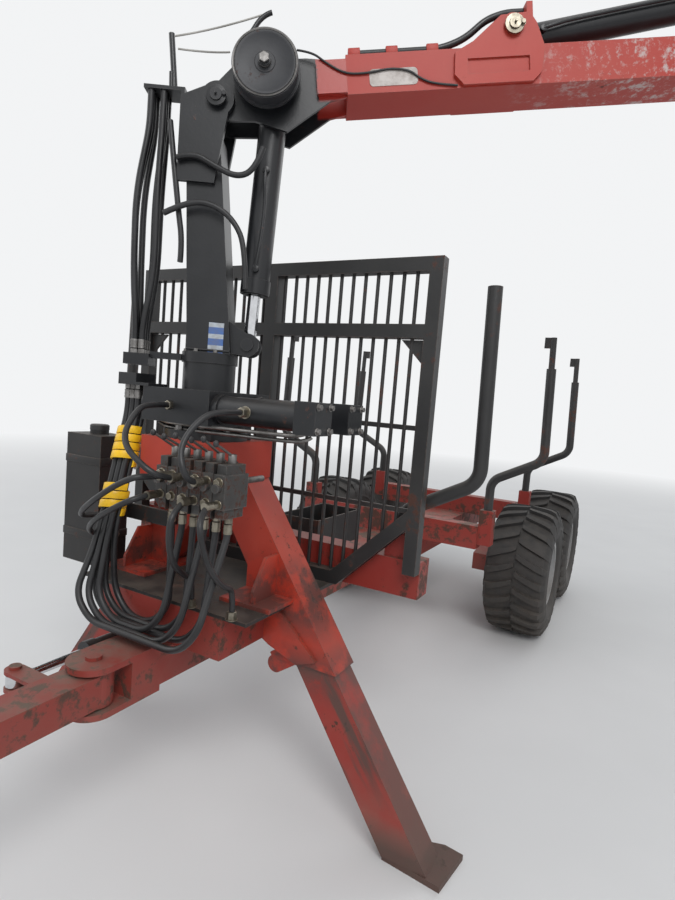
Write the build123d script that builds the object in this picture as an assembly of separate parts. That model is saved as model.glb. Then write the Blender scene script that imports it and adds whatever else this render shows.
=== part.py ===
from build123d import *
from math import atan2, cos, degrees, hypot, radians, sin, tan
import os

# Forestry crane trailer, in millimetres.
# X points to the trailer's left, Y to its rear and Z up.
# The numbers below are measured from the ground under the middle of the bogie,
# and everything is shifted once, at the end, so that the tow eye is the origin.

# Wheels and bogies
TYRE_R = 437
TYRE_WIDTH = 400
TYRE_WALL = 26
RIM_R = 200
RIM_FLANGE_R = 218
RIM_WIDTH = 320
HUB_R = 75
STUB_R = 35
WHEEL_GAUGE = 1500
WHEEL_BASE = 1000
AXLE_Z = TYRE_R
BOGIE_PIVOT_Z = 470
BOGIE_PIVOT_R = 45
BOGIE_X = 460
BOGIE_BEAM_WIDTH = 120
BOGIE_END = 570

# Central frame
CHASSIS_HALF = 170
CHASSIS_TOP = 670
CHASSIS_HEIGHT = 150
CHASSIS_FRONT = -1800
CHASSIS_REAR = 750
CHASSIS_WALL = 10
NECK_HALF = 80
NECK_TOP = 630
NECK_HEIGHT = 120
NECK_FRONT = -3360
SADDLE_HALF = 280
SADDLE_FRONT = -3190
SADDLE_DEPTH = 240
SADDLE_BACK = SADDLE_FRONT + SADDLE_DEPTH
SADDLE_HEIGHT = 138
DECK_THICK = 12
DECK_HALF = 378
DECK_REAR = -2440

# Bunks, stakes and headboard
BUNK_FRONT_Y = -2560
BUNK_MID_Y = -1160
BUNK_REAR_Y = 0
BUNK_DEPTH = 100
BUNK_HEIGHT = 140
FRONT_BUNK_HALF = 720
STAKE_BEND_Z = 1240
STAKE_FOOT_X = 610
STAKE_OUT_X = 895
STAKE_R = 26
STAKE_TIP_R = 17
STAKE_SOCKET = 80
STAKE_LEAN = 15
FRONT_STAKE_TOP = 1930
REAR_STAKE_TOP = 1765
STAKE_TIP_TOP = 1940
GRILLE_HALF = FRONT_BUNK_HALF
GRILLE_TUBE = 50
GRILLE_TOP = 2020
GRILLE_MID = 1760
GRILLE_CHAMFER_Z = 1090
GRILLE_CHAMFER_X = 395
GRILLE_BARS = 12
GRILLE_BAR_R = 7
GRILLE_RUNG_Z = (1110, 1415)

# Crane stand and stabiliser legs
CRANE_Y = -3000
STAND_TOP = 1320
STAND_HALF = 155
STAND_FRONT = -3155
STAND_REAR = -2800
STAND_BOX = 140
STAND_PLATE = 25
STAND_WALL = 12
LEG_Y = -2870
LEG_SPACE = 5000
LEG_SLOPE = 55
LEG_FOOT_X = 883
SLEEVE_END_Z = 570
SLEEVE_WIDTH = 150
SLEEVE_DEPTH = 135
SLEEVE_WALL = 10
EAR_DROP = 82
EAR_R = 32
EAR_PLATE = 14
EAR_LANES = (-48, 34)
FLANGE_IN = 180
FLANGE_OUT = 388
FLANGE_FRONT = -3085
FLANGE_THICK = 14
WEB_THICK = 12
LEG_FIT = 0.5
LEG_STROKE = 350
LEG_INSIDE = 330
LEG_WALL = 8
FOOT_THICK = 20
FOOT_LENGTH = 230
FOOT_WIDTH = 180
FOOT_OUT = 22

# Hoses: down the column to one block, and from the block under it to the valve bank
HOSE_R = 11
HOSE_PITCH = 25
HOSE_BLOCK_HALF = 44
HOSE_BLOCK = 42
HOSE_DROP = (-225, -3125)
HOSE_DROP_FOOT = (-213, -3240, 955)
HOSE_DROP_HEAD = 1395
HOSE_LOOP_LOW = 690
HOSE_LOOP_CORNER = 77
HOSE_LAYER_MIDDLE = -3272
HOSE_LAYER_PITCH = 24
WRAP_R = 46
WRAP_WALL = 6.4
WRAP_SPANS = ((0.12, 0.5), (0.57, 0.88))
COLUMN_HOSE_R = -250
COLUMN_HOSE_TOP = 2486
COLUMN_HOSE_LOW = 1602
BOOM_HOSE_R = 11
BOOM_HOSE_LAT = -68

# Slewing gear
RACK_Y = 105
RACK_R = 46
RACK_Z = 1432
RACK_LEFT = 548
RACK_RIGHT = -165
COLLAR_Z = 1585
COLLAR_R = 98

# Crane: r runs out along the boom from the slewing axis
BOOM_HEADING = 30
BOOM_PITCH = 8.4
PIVOT_R = -10
PIVOT_Z = 2450
PIVOT_PIN_R = 20
COLUMN_HALF = 75
COLUMN_TOP = 2350
EAR_THICK = 18
BASE_HALF = 68
BASE_PLATE = 12
BOOM_HALF = 90
BOOM_HEIGHT = 125
BOOM_LOW = -12
BOOM_WALL = 8
BOOM_START = 330
BOOM_JOIN = 430
BOOM_TAPER = 1600
BRACKET_PLATE = 14
ELBOW_S = 2360
ELBOW_T = -30
ELBOW_PIN_R = 22
ELBOW_MOUTH = 150

# Winch on the boom's near side
WINCH_S = 170
WINCH_T = 58
WINCH_R = 106

# Lift cylinder, from its eye on the boom down to the foot of the column
LIFT_EYE_R = 168
LIFT_EYE_Z = 2440
LIFT_FOOT_R = 135
LIFT_FOOT_Z = 1660
LIFT_BARREL_R = 47.5
LIFT_ROD_R = 22
LIFT_BARREL = 600
LIFT_OUT = 185
LIFT_IN = 27

# Outer boom cylinder, along the top of the main boom
JIB_RAM_S = 985
JIB_RAM_T = 165
JIB_LEVER_S = -90
JIB_LEVER_T = 372
JIB_BARREL_R = 45
JIB_ROD_R = 22
JIB_BARREL = 900
JIB_OUT = 420
JIB_IN = 115

# Outer boom, its extension and the grapple
JIB_DROP = 28.4
JIB_HALF_WIDTH = 70
JIB_HEIGHT = 155
JIB_LENGTH = 1480
JIB_WALL = 12
JIB_CHEEK = 10
EXT_FIT = 0.5
EXT_INSIDE = 1300
EXT_STROKE = 1000
TIP_REACH = 280
TIP_S = JIB_LENGTH + TIP_REACH
EXT_RAM_R = 32
EXT_ROD_R = 15
EXT_BARREL_SHORT = 150
EXT_BARREL_END = JIB_LENGTH - EXT_BARREL_SHORT
TIP_PIN_R = 15
LINK_DROP = 110
ROTATOR_DROP = 120
JAW_PIN_X = 110
JAW_PIN_R = 16
JAW_PIN_DROP = 165
JAW_LEVER_X = 70
JAW_LEVER_Z = 62
JAW_LANES = (46, 24)
GRAPPLE_BARREL = 190
GRAPPLE_IN = 114

# Fits
PIN_FIT = 0.05
ROD_FIT = 0.3
SEAT_GAP = 0.3
SIDE_CLEAR = 5

# Drawbar and its steering cylinder
DRAWBAR_PIVOT_Y = -3440
DRAWBAR_PIN_R = 25
DRAWBAR_HALF = 60
DRAWBAR_HEIGHT = 100
EYE_Y = -4600
EYE_BORE_R = 25
EYE_R = 60
EYE_THICK = 40
STEER_BASE = (-190, -2990)
STEER_EYE = (-200, -3560)
STEER_BARREL_R = 32
STEER_ROD_R = 15
STEER_BARREL = 330
STEER_STROKE = 106
STEER_PIN_R = 14

# Bodies of oil and control gear on the stand
TANK = (-600, -405, -3120, -2980, 780, 1285)
VALVE = (50, 330, -3275, -3165, 1110, 1275)
TRAY = (-110, 110, -2320, -1900, 770, 930)

NECK_MID_Z = NECK_TOP - NECK_HEIGHT / 2
EYE_Z = NECK_MID_Z
DECK_TOP = NECK_TOP + SADDLE_HEIGHT + DECK_THICK
BUNK_HALF = STAKE_FOOT_X - STAKE_SOCKET / 2
GRILLE_BOTTOM = DECK_TOP + GRILLE_TUBE / 2
TO_EYE = Location((0, -EYE_Y, -EYE_Z))


def box(x0, x1, y0, y1, z0, z1):
    """A block between two values on each axis."""
    return Pos((x0 + x1) / 2, (y0 + y1) / 2, (z0 + z1) / 2) * Box(x1 - x0, y1 - y0, z1 - z0)


def rod(start, end, radius):
    """A round bar from one point to another."""
    a, b = Vector(*start), Vector(*end)
    return Plane(a, z_dir=(b - a).normalized()) * Cylinder(
        radius, (b - a).length, align=(Align.CENTER, Align.CENTER, Align.MIN)
    )


def front_plate(points, y0, y1):
    """An outline in X and Z, thick from y0 to y1."""
    face = Plane((0, y1, 0), x_dir=(1, 0, 0), z_dir=(0, -1, 0)) * Polygon(*points, align=None)
    return extrude(face, y1 - y0, dir=(0, -1, 0))


def side_plate(points, x0, x1):
    """An outline in Y and Z, thick from x0 to x1."""
    face = Plane((x0, 0, 0), x_dir=(0, 1, 0), z_dir=(1, 0, 0)) * Polygon(*points, align=None)
    return extrude(face, x1 - x0, dir=(1, 0, 0))


def fuse(shapes):
    """All the shapes joined into one."""
    shapes = list(shapes)
    whole = shapes[0]
    for other in shapes[1:]:
        whole = whole + other
    return whole


def cross_pin(x, z, radius, half):
    """A pin along Y through a point of the XZ plane."""
    return rod((x, -half, z), (x, half, z), radius)


def ram(length, barrel_length, barrel_r, rod_r, eye_r, pin_r, eye_half, out_stroke, in_stroke, root=0):
    """A cylinder along X: its base eye at zero and its rod's eye at the length."""
    bore_r = rod_r + ROD_FIT
    rod_end = barrel_length - out_stroke - 40
    bore_end = rod_end - in_stroke - 10
    start = max(root, eye_r * 0.7)
    barrel = rod((start, 0, 0), (barrel_length, 0, 0), barrel_r)
    barrel += rod((barrel_length - 40, 0, 0), (barrel_length, 0, 0), barrel_r + 4)
    barrel += rod((0, 0, 0), (start + 5, 0, 0), eye_half * 0.9)
    barrel += rod((0, -eye_half, 0), (0, eye_half, 0), eye_r)
    barrel -= rod((bore_end, 0, 0), (barrel_length + 1, 0, 0), bore_r)
    barrel -= rod((0, -eye_half - 1, 0), (0, eye_half + 1, 0), pin_r + PIN_FIT)
    piston_rod = rod((rod_end, 0, 0), (length - eye_r * 0.6, 0, 0), rod_r)
    piston_rod += rod((length, -eye_half, 0), (length, eye_half, 0), eye_r)
    piston_rod -= rod((length, -eye_half - 1, 0), (length, eye_half + 1, 0), pin_r + PIN_FIT)
    return barrel, piston_rod


# Wheels
def tyre_solid():
    """A hollow tyre about the X axis, with round shoulders and flat beads."""
    half, bead, wall = TYRE_WIDTH / 2, RIM_WIDTH / 2, TYRE_WALL
    outside = [
        (RIM_R, bead),
        (RIM_FLANGE_R + 4, bead),
        (RIM_FLANGE_R + 20, half - 14),
        (TYRE_R - 110, half),
        (TYRE_R - 42, half - 6),
        (TYRE_R - 10, half - 34),
        (TYRE_R, half - 78),
    ]
    inside = [
        (TYRE_R - wall, half - 90),
        (TYRE_R - wall - 14, half - 40),
        (TYRE_R - 110, half - wall),
        (RIM_FLANGE_R + 24, half - 16 - wall),
        (RIM_FLANGE_R + 4, bead - wall - 6),
        (RIM_R, bead - wall - 6),
    ]
    ring = outside + [(r, -x) for r, x in reversed(outside)]
    ring += [(r, -x) for r, x in reversed(inside)] + inside
    section = Plane.XY * Polygon(*[(x, r) for r, x in ring], align=None)
    return revolve(section, Axis.X)


def rim_solid():
    """A disc wheel about the X axis, hub and cap outwards along +X."""
    half = RIM_WIDTH / 2
    shell = rod((-half, 0, 0), (half, 0, 0), RIM_R) - rod((-half - 1, 0, 0), (half + 1, 0, 0), RIM_R - 9)
    for side in (-1, 1):
        lip = rod((side * half, 0, 0), (side * (half + 9), 0, 0), RIM_FLANGE_R)
        lip -= rod((side * (half - 1), 0, 0), (side * (half + 10), 0, 0), RIM_R - 9)
        shell += lip
    disc = rod((22, 0, 0), (36, 0, 0), RIM_R - 5)
    hub = rod((-70, 0, 0), (88, 0, 0), HUB_R)
    bore = rod((-71, 0, 0), (76, 0, 0), STUB_R + PIN_FIT)
    return shell + disc + hub - bore


def wheel_places():
    """Each wheel's name, its side (1 is left) and its Y."""
    table = []
    for side_name, side in (("left", 1), ("right", -1)):
        for end_name, y in (("front", -WHEEL_BASE / 2), ("rear", WHEEL_BASE / 2)):
            table.append((f"{end_name}_{side_name}", side, y))
    return table


def bogie_solid(side):
    """A walking beam with its pivot bore and two stub axles."""
    x0 = side * (BOGIE_X - BOGIE_BEAM_WIDTH / 2)
    x1 = side * (BOGIE_X + BOGIE_BEAM_WIDTH / 2)
    half = WHEEL_BASE / 2
    outline = [
        (-BOGIE_END, AXLE_Z - 60),
        (-BOGIE_END, AXLE_Z + 55),
        (-180, BOGIE_PIVOT_Z + 75),
        (180, BOGIE_PIVOT_Z + 75),
        (BOGIE_END, AXLE_Z + 55),
        (BOGIE_END, AXLE_Z - 60),
        (180, BOGIE_PIVOT_Z - 85),
        (-180, BOGIE_PIVOT_Z - 85),
    ]
    beam = side_plate(outline, min(x0, x1), max(x0, x1))
    inner = side_plate(
        [(y * 0.98, z + (10 if z < BOGIE_PIVOT_Z - 20 else -10)) for y, z in outline],
        min(x0, x1) + 10,
        max(x0, x1) - 10,
    )
    beam -= inner
    boss = rod((x0 - side * 15, 0, BOGIE_PIVOT_Z), (x1 + side * 12, 0, BOGIE_PIVOT_Z), BOGIE_PIVOT_R + 22)
    beam += boss
    beam -= rod((x0 - side * 30, 0, BOGIE_PIVOT_Z), (x1 + side * 30, 0, BOGIE_PIVOT_Z), BOGIE_PIVOT_R + PIN_FIT)
    for y in (-half, half):
        beam += rod((x0, y, AXLE_Z), (side * (WHEEL_GAUGE / 2 + 72), y, AXLE_Z), STUB_R)
        beam += rod((x1, y, AXLE_Z), (side * (WHEEL_GAUGE / 2 - 78), y, AXLE_Z), STUB_R + 18)
    return beam


# Central frame
def chassis_solid():
    """The wide box beam over the bogies, closed at both ends."""
    z1 = CHASSIS_TOP
    z0 = CHASSIS_TOP - CHASSIS_HEIGHT
    wall = CHASSIS_WALL
    beam = box(-CHASSIS_HALF, CHASSIS_HALF, CHASSIS_FRONT, CHASSIS_REAR, z0, z1)
    beam -= box(
        -CHASSIS_HALF + wall,
        CHASSIS_HALF - wall,
        CHASSIS_FRONT + wall,
        CHASSIS_REAR - wall,
        z0 + wall,
        z1 - wall,
    )
    return beam


def bogie_axle_solid():
    """The square cross axle under the frame and its two round spigots."""
    z1 = CHASSIS_TOP - CHASSIS_HEIGHT
    half = z1 - BOGIE_PIVOT_Z
    inner = BOGIE_X - BOGIE_BEAM_WIDTH / 2 - 22
    axle = box(-inner, inner, -half, half, BOGIE_PIVOT_Z - half, z1)
    outer = BOGIE_X + BOGIE_BEAM_WIDTH / 2 + 22
    axle += rod((-outer, 0, BOGIE_PIVOT_Z), (outer, 0, BOGIE_PIVOT_Z), BOGIE_PIVOT_R)
    for side in (-1, 1):
        axle += rod((side * (outer - 8), 0, BOGIE_PIVOT_Z), (side * outer, 0, BOGIE_PIVOT_Z), BOGIE_PIVOT_R + 12)
    return axle


def neck_solid():
    """The narrow beam from the frame to the drawbar's vertical pin."""
    z1 = NECK_TOP
    z0 = z1 - NECK_HEIGHT
    neck = box(-NECK_HALF, NECK_HALF, NECK_FRONT, CHASSIS_FRONT, z0, z1)
    neck -= box(-NECK_HALF + 10, NECK_HALF - 10, NECK_FRONT + 20, CHASSIS_FRONT - 10, z0 + 10, z1 - 10)
    for z in (z0 - 20, z1):
        neck += box(-NECK_HALF, NECK_HALF, DRAWBAR_PIVOT_Y, NECK_FRONT + 120, z, z + 20)
        neck += rod((0, DRAWBAR_PIVOT_Y, z), (0, DRAWBAR_PIVOT_Y, z + 20), NECK_HALF)
    neck += rod((0, DRAWBAR_PIVOT_Y, z0 - 32), (0, DRAWBAR_PIVOT_Y, z1 + 32), DRAWBAR_PIN_R)
    x, y = STEER_BASE
    for z in (NECK_MID_Z - 34, NECK_MID_Z + 22):
        lug = box(x, -NECK_HALF, y - 30, y + 60, z, z + 12)
        neck += lug + rod((x, y, z), (x, y, z + 12), 30)
    neck += rod((x, y, NECK_MID_Z - 42), (x, y, NECK_MID_Z + 42), STEER_PIN_R)
    return neck


def saddle_solid():
    """The cross box that straddles the neck and the two webs under the deck."""
    z1 = NECK_TOP + SADDLE_HEIGHT
    wall = 10
    whole = box(-SADDLE_HALF, SADDLE_HALF, SADDLE_FRONT, SADDLE_BACK, NECK_TOP, z1)
    whole -= box(-SADDLE_HALF + wall, SADDLE_HALF - wall, SADDLE_FRONT + wall, SADDLE_BACK - wall, NECK_TOP + wall, z1 - wall)
    for x in (-NECK_HALF, NECK_HALF - 12):
        whole += box(x, x + 12, SADDLE_BACK - 5, DECK_REAR, NECK_TOP, z1)
    whole += box(-NECK_HALF, NECK_HALF, DECK_REAR - 12, DECK_REAR, NECK_TOP, z1)
    for side in (-1, 1):
        for y in (BUNK_FRONT_Y - 12, BUNK_FRONT_Y):
            shape = [(side * (NECK_HALF - 5), NECK_TOP), (side * (NECK_HALF - 5), z1), (side * (DECK_HALF - 60), z1)]
            whole += front_plate(shape, y, y + 12)
    return whole


def deck_solid():
    """The black deck plate that the stand and the front bunk stand on, notched for the sleeves."""
    z0 = NECK_TOP + SADDLE_HEIGHT
    deck = box(-DECK_HALF, DECK_HALF, SADDLE_FRONT, DECK_REAR, z0, z0 + DECK_THICK)
    reach = SLEEVE_DEPTH / 2 + SIDE_CLEAR
    inner = sleeve_inner_x(z0 + DECK_THICK) - SIDE_CLEAR
    for side in (-1, 1):
        a, b = sorted((side * inner, side * (DECK_HALF + 1)))
        deck -= box(a, b, LEG_Y - reach, LEG_Y + reach, z0 - 1, z0 + DECK_THICK + 1)
    return deck


# Bunks, stakes and headboard
def bunk_table():
    """Each bunk's Y, the Z of its underside and its half length."""
    return [
        (BUNK_FRONT_Y, DECK_TOP, FRONT_BUNK_HALF),
        (BUNK_MID_Y, CHASSIS_TOP, BUNK_HALF),
        (BUNK_REAR_Y, CHASSIS_TOP, BUNK_HALF),
    ]


def bunk_solid(y, z, half):
    """A box cross beam with a square socket for a stake at each end."""
    y0, y1 = y - BUNK_DEPTH / 2, y + BUNK_DEPTH / 2
    beam = box(-half, half, y0, y1, z, z + BUNK_HEIGHT)
    beam -= box(-half + 8, half - 8, y0 + 8, y1 - 8, z + 8, z + BUNK_HEIGHT - 8)
    reach = STAKE_SOCKET / 2
    for side in (-1, 1):
        x = side * STAKE_FOOT_X
        socket = box(x - reach, x + reach, y - reach, y + reach, z + 30, z + BUNK_HEIGHT + 100)
        beam += socket
    for side in (-1, 1):
        x = side * STAKE_FOOT_X
        beam -= rod((x, y, z + 60), (x, y, z + BUNK_HEIGHT + 110), STAKE_R)
    return beam


def stake_solid(side, y, foot_z, top_z):
    """A bent round stake: up out of its socket, outwards and up again."""
    x0 = side * STAKE_FOOT_X
    x1 = side * STAKE_OUT_X
    low = STAKE_BEND_Z - 150
    path = FilletPolyline(
        (x0, y, foot_z + 60), (x0, y, low), (x1, y, STAKE_BEND_Z), (x1 - side * STAKE_LEAN, y, top_z), radius=90
    )
    start = Plane((x0, y, foot_z + 60), z_dir=(0, 0, 1))
    return sweep(start * Circle(STAKE_R), path=path)


def stake_tip_solid(side, y):
    """The thinner upper length that stands on a rear stake, with its hook plate."""
    x1 = side * STAKE_OUT_X
    lean = -side * STAKE_LEAN / (REAR_STAKE_TOP - STAKE_BEND_Z)
    x0 = x1 - side * STAKE_LEAN
    rise = STAKE_TIP_TOP - REAR_STAKE_TOP
    top = (x0 + lean * rise, y, STAKE_TIP_TOP)
    tip = rod((x0, y, REAR_STAKE_TOP), top, STAKE_TIP_R)
    a, b = sorted((top[0] - side * 4, top[0] - side * 46))
    return tip + box(a, b, y - 6, y + 6, STAKE_TIP_TOP - 60, STAKE_TIP_TOP)


def headboard_solid():
    """The barred headboard with its chamfered lower corners."""
    tube = GRILLE_TUBE
    y1 = BUNK_FRONT_Y - BUNK_DEPTH / 2
    y0 = y1 - tube
    mid_y = (y0 + y1) / 2
    inner = GRILLE_HALF - tube
    parts = []
    for side in (-1, 1):
        a, b = sorted((side * inner, side * GRILLE_HALF))
        parts.append(box(a, b, y0, y1, DECK_TOP + 100, GRILLE_TOP))
        slant = [
            (side * (GRILLE_CHAMFER_X - 22), GRILLE_BOTTOM - 25),
            (side * (GRILLE_CHAMFER_X - 22), GRILLE_BOTTOM + 25),
            (side * inner, GRILLE_CHAMFER_Z + 25),
            (side * inner, GRILLE_CHAMFER_Z - 45),
            (side * (GRILLE_CHAMFER_X + 8), GRILLE_BOTTOM - 25),
        ]
        parts.append(front_plate(slant, y0, y1))
        gusset = [
            (side * inner, GRILLE_MID - 30),
            (side * (inner - 90), GRILLE_MID - 30),
            (side * inner, GRILLE_MID - 120),
        ]
        parts.append(front_plate(gusset, mid_y - 5, mid_y + 5))
    parts.append(box(-inner, inner, y0, y1, GRILLE_TOP - tube, GRILLE_TOP))
    parts.append(box(-inner, inner, y0, y1, GRILLE_MID - tube / 2, GRILLE_MID + tube / 2))
    parts.append(box(-GRILLE_CHAMFER_X + 22, GRILLE_CHAMFER_X - 22, y0, y1, GRILLE_BOTTOM - 25, GRILLE_BOTTOM + 25))
    parts.append(box(-28, 28, y0, y1, GRILLE_BOTTOM, GRILLE_TOP - tube / 2))
    for z in GRILLE_RUNG_Z:
        parts.append(box(-inner, inner, mid_y - 5, mid_y + 5, z - 9, z + 9))
    pitch = inner / (GRILLE_BARS + 1)
    slope = (GRILLE_CHAMFER_Z - GRILLE_BOTTOM) / (inner - GRILLE_CHAMFER_X)
    for side in (-1, 1):
        for i in range(1, GRILLE_BARS + 1):
            x = i * pitch
            low = GRILLE_BOTTOM + max(0, (x - GRILLE_CHAMFER_X) * slope)
            parts.append(rod((side * x, mid_y, low), (side * x, mid_y, GRILLE_TOP - tube / 2), GRILLE_BAR_R))
    return fuse(parts)


# Crane stand and legs
SLOPE_SIN = sin(radians(LEG_SLOPE))
SLOPE_COS = cos(radians(LEG_SLOPE))
SLEEVE_FROM = SLEEVE_END_Z / SLOPE_SIN
SLEEVE_TO = STAND_TOP / SLOPE_SIN + 120


def leg_frame(side):
    """A frame at a leg's foot on the ground, X up along the leg."""
    turn = LEG_SLOPE if side < 0 else 180 - LEG_SLOPE
    return Location((side * LEG_FOOT_X, LEG_Y, 0), (0, -turn, 0))


def sleeve_inner_x(z):
    """How far a sleeve's lower side stands from the middle at a height."""
    return LEG_FOOT_X - z * SLOPE_COS / SLOPE_SIN - SLEEVE_WIDTH / 2 / SLOPE_SIN


def sleeve_outer_x(z):
    """How far a sleeve's upper side stands from the middle at a height."""
    return sleeve_inner_x(z) + SLEEVE_WIDTH / SLOPE_SIN


def stand_solid():
    """The top box, the two sloping leg sleeves and what joins them to the deck and the saddle."""
    z_plate = STAND_TOP - STAND_PLATE
    wide = LEG_FOOT_X
    half, depth, wall = SLEEVE_WIDTH / 2, SLEEVE_DEPTH / 2, SLEEVE_WALL
    limit = box(-wide, wide, LEG_Y - depth, LEG_Y + depth, SLEEVE_END_Z, z_plate)
    inside = box(-wide, wide, LEG_Y - depth, LEG_Y + depth, 0, z_plate - wall)
    start = SLEEVE_FROM - SLEEVE_WIDTH
    solids = []
    hollows = []
    for side in (-1, 1):
        place = leg_frame(side)
        solids.append(place * box(start, SLEEVE_TO, -depth, depth, -half, half) & limit)
        hollow = place * box(start, SLEEVE_TO, -depth + wall, depth - wall, -half + wall, half - wall)
        hollows.append(hollow & inside)
        low = side * (half + EAR_DROP)
        at = SLEEVE_FROM + 2 * EAR_R
        for y in EAR_LANES:
            ear = rod((at, y, low), (at, y + EAR_PLATE, low), EAR_R)
            ear += box(at - EAR_R, at + EAR_R + 12, y, y + EAR_PLATE, *sorted((side * (half - 4), low)))
            solids.append(place * ear)
    z_box = STAND_TOP - STAND_BOX
    solids.append(box(-STAND_HALF, STAND_HALF, STAND_FRONT, STAND_REAR, z_plate, STAND_TOP))
    shell = box(-STAND_HALF, STAND_HALF, STAND_FRONT, STAND_REAR, z_box, z_plate)
    room = STAND_HALF - STAND_WALL
    shell -= box(-room, room, STAND_FRONT + STAND_WALL, LEG_Y - depth - STAND_WALL, z_box + STAND_WALL, z_plate)
    solids.append(shell)
    z0 = DECK_TOP + FLANGE_THICK
    front = LEG_Y - depth
    for side in (-1, 1):
        a, b = sorted((side * FLANGE_IN, side * FLANGE_OUT))
        solids.append(box(a, b, FLANGE_FRONT, LEG_Y + depth + 8, DECK_TOP, z0))
        top = z0 + 145
        web = [
            (FLANGE_FRONT + 15, z0 - 2),
            (FLANGE_FRONT + 15, z0 + 40),
            (front - 70, top),
            (front + 2, top),
            (front + 2, z0 - 2),
        ]
        a, b = sorted((side * 300, side * (300 + WEB_THICK)))
        solids.append(side_plate(web, a, b))
        upright = [
            (side * FLANGE_IN, z0 - 2),
            (side * FLANGE_IN, z0 + 90),
            (side * sleeve_outer_x(z0 + 90), z0 + 90),
            (side * sleeve_outer_x(z0), z0 - 2),
        ]
        solids.append(front_plate(upright, front, front + WEB_THICK))
        level = DECK_TOP - DECK_THICK - SIDE_CLEAR
        cheek = [
            (side * (SADDLE_HALF - 50), level),
            (side * (SADDLE_HALF - 50), 650),
            (side * (SADDLE_HALF + 25), 610),
            (side * 425, SLEEVE_END_Z),
            (side * 500, SLEEVE_END_Z + 30),
            (side * (sleeve_inner_x(level) + 60), level),
        ]
        solids.append(front_plate(cheek, SADDLE_BACK, front + 2))
    stand = fuse(solids)
    for hollow in hollows:
        stand -= hollow
    return stand


def leg_solid(side):
    """A sliding leg with its foot plate flat on the ground."""
    place = leg_frame(side)
    half = SLEEVE_WIDTH / 2 - SLEEVE_WALL - LEG_FIT
    depth = SLEEVE_DEPTH / 2 - SLEEVE_WALL - LEG_FIT
    end = SLEEVE_FROM + LEG_INSIDE
    leg = place * box(-160, end, -depth, depth, -half, half)
    leg = leg & box(-LEG_SPACE, LEG_SPACE, -LEG_SPACE, 0, FOOT_THICK - 1, LEG_SPACE)
    wall = LEG_WALL
    leg -= place * box(160, end + 10, -depth + wall, depth - wall, -half + wall, half - wall)
    centre = side * (LEG_FOOT_X + FOOT_OUT)
    a, b = centre - FOOT_LENGTH / 2, centre + FOOT_LENGTH / 2
    y0 = LEG_Y - depth - 10
    y1 = y0 + FOOT_WIDTH
    pad = [(a, y0 + 20), (a, y0 + 125), (b - 65, y1), (b, y1 - 8), (b - 25, y0)]
    if side < 0:
        pad = [(a + b - x, y) for x, y in pad]
    plate = extrude(Polygon(*pad, align=None), FOOT_THICK, dir=(0, 0, 1))
    return leg + plate


def slew_base_solid():
    """The housing over the pinion, up to the collar under the column."""
    housing = rod((0, CRANE_Y, STAND_TOP), (0, CRANE_Y, STAND_TOP + 30), STAND_HALF - 5)
    housing += rod((0, CRANE_Y, STAND_TOP), (0, CRANE_Y, COLLAR_Z - SEAT_GAP), 92)
    reach = RACK_Y + RACK_R + 12
    block = box(
        -150, 150, CRANE_Y - reach, CRANE_Y + reach, RACK_Z - RACK_R - 12, RACK_Z + RACK_R + 12
    )
    housing += block
    housing += box(-120, 120, CRANE_Y - 110, CRANE_Y + 110, STAND_TOP, RACK_Z - RACK_R)
    for y in (-RACK_Y, RACK_Y):
        housing -= rod((-200, CRANE_Y + y, RACK_Z), (200, CRANE_Y + y, RACK_Z), RACK_R)
    x, y = HOSE_DROP
    half = HOSE_BLOCK_HALF
    z = RACK_Z + RACK_R + 12
    housing += box(x - half, -120, y - half, y + half, z, z + 10)
    housing += box(x - half, x + half, y - half, y + half, z + 10, z + HOSE_BLOCK)
    return housing


def slew_cylinders_solids():
    """The two rack cylinders, each with its end blocks."""
    solids = []
    for y in (-RACK_Y, RACK_Y):
        at = CRANE_Y + y
        barrel = rod((RACK_RIGHT, at, RACK_Z), (RACK_LEFT, at, RACK_Z), RACK_R)
        barrel += rod((150, at, RACK_Z), (172, at, RACK_Z), RACK_R + 5)
        barrel += rod((RACK_RIGHT, at, RACK_Z), (-150, at, RACK_Z), RACK_R + 5)
        barrel += box(RACK_LEFT - 75, RACK_LEFT, at - 50, at + 50, RACK_Z - 50, RACK_Z + 50)
        solids.append(barrel)
    return Compound(children=solids)


# Crane
CRANE = Location((0, CRANE_Y, 0), (0, 0, BOOM_HEADING))
BOOM = CRANE * Location((PIVOT_R, 0, PIVOT_Z), (0, -BOOM_PITCH, 0))
JIB = BOOM * Location((ELBOW_S, 0, ELBOW_T), (0, JIB_DROP, 0))
LIFT_ANGLE = degrees(atan2(LIFT_EYE_Z - LIFT_FOOT_Z, LIFT_FOOT_R - LIFT_EYE_R))
LIFT_RAM = CRANE * Location((LIFT_EYE_R, 0, LIFT_EYE_Z), (0, LIFT_ANGLE, 0))
LIFT_LENGTH = hypot(LIFT_EYE_R - LIFT_FOOT_R, LIFT_EYE_Z - LIFT_FOOT_Z)
JIB_EYE = (ELBOW_S + JIB_LEVER_S, ELBOW_T + JIB_LEVER_T)
JIB_RAM_ANGLE = degrees(atan2(JIB_EYE[1] - JIB_RAM_T, JIB_EYE[0] - JIB_RAM_S))
JIB_RAM = BOOM * Location((JIB_RAM_S, 0, JIB_RAM_T), (0, -JIB_RAM_ANGLE, 0))
JIB_RAM_LENGTH = hypot(JIB_EYE[0] - JIB_RAM_S, JIB_EYE[1] - JIB_RAM_T)
TIP_AT = (JIB * Location((TIP_S, 0, 0))).position
HANG = Location((TIP_AT.X, TIP_AT.Y, TIP_AT.Z), (0, 0, BOOM_HEADING))


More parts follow.
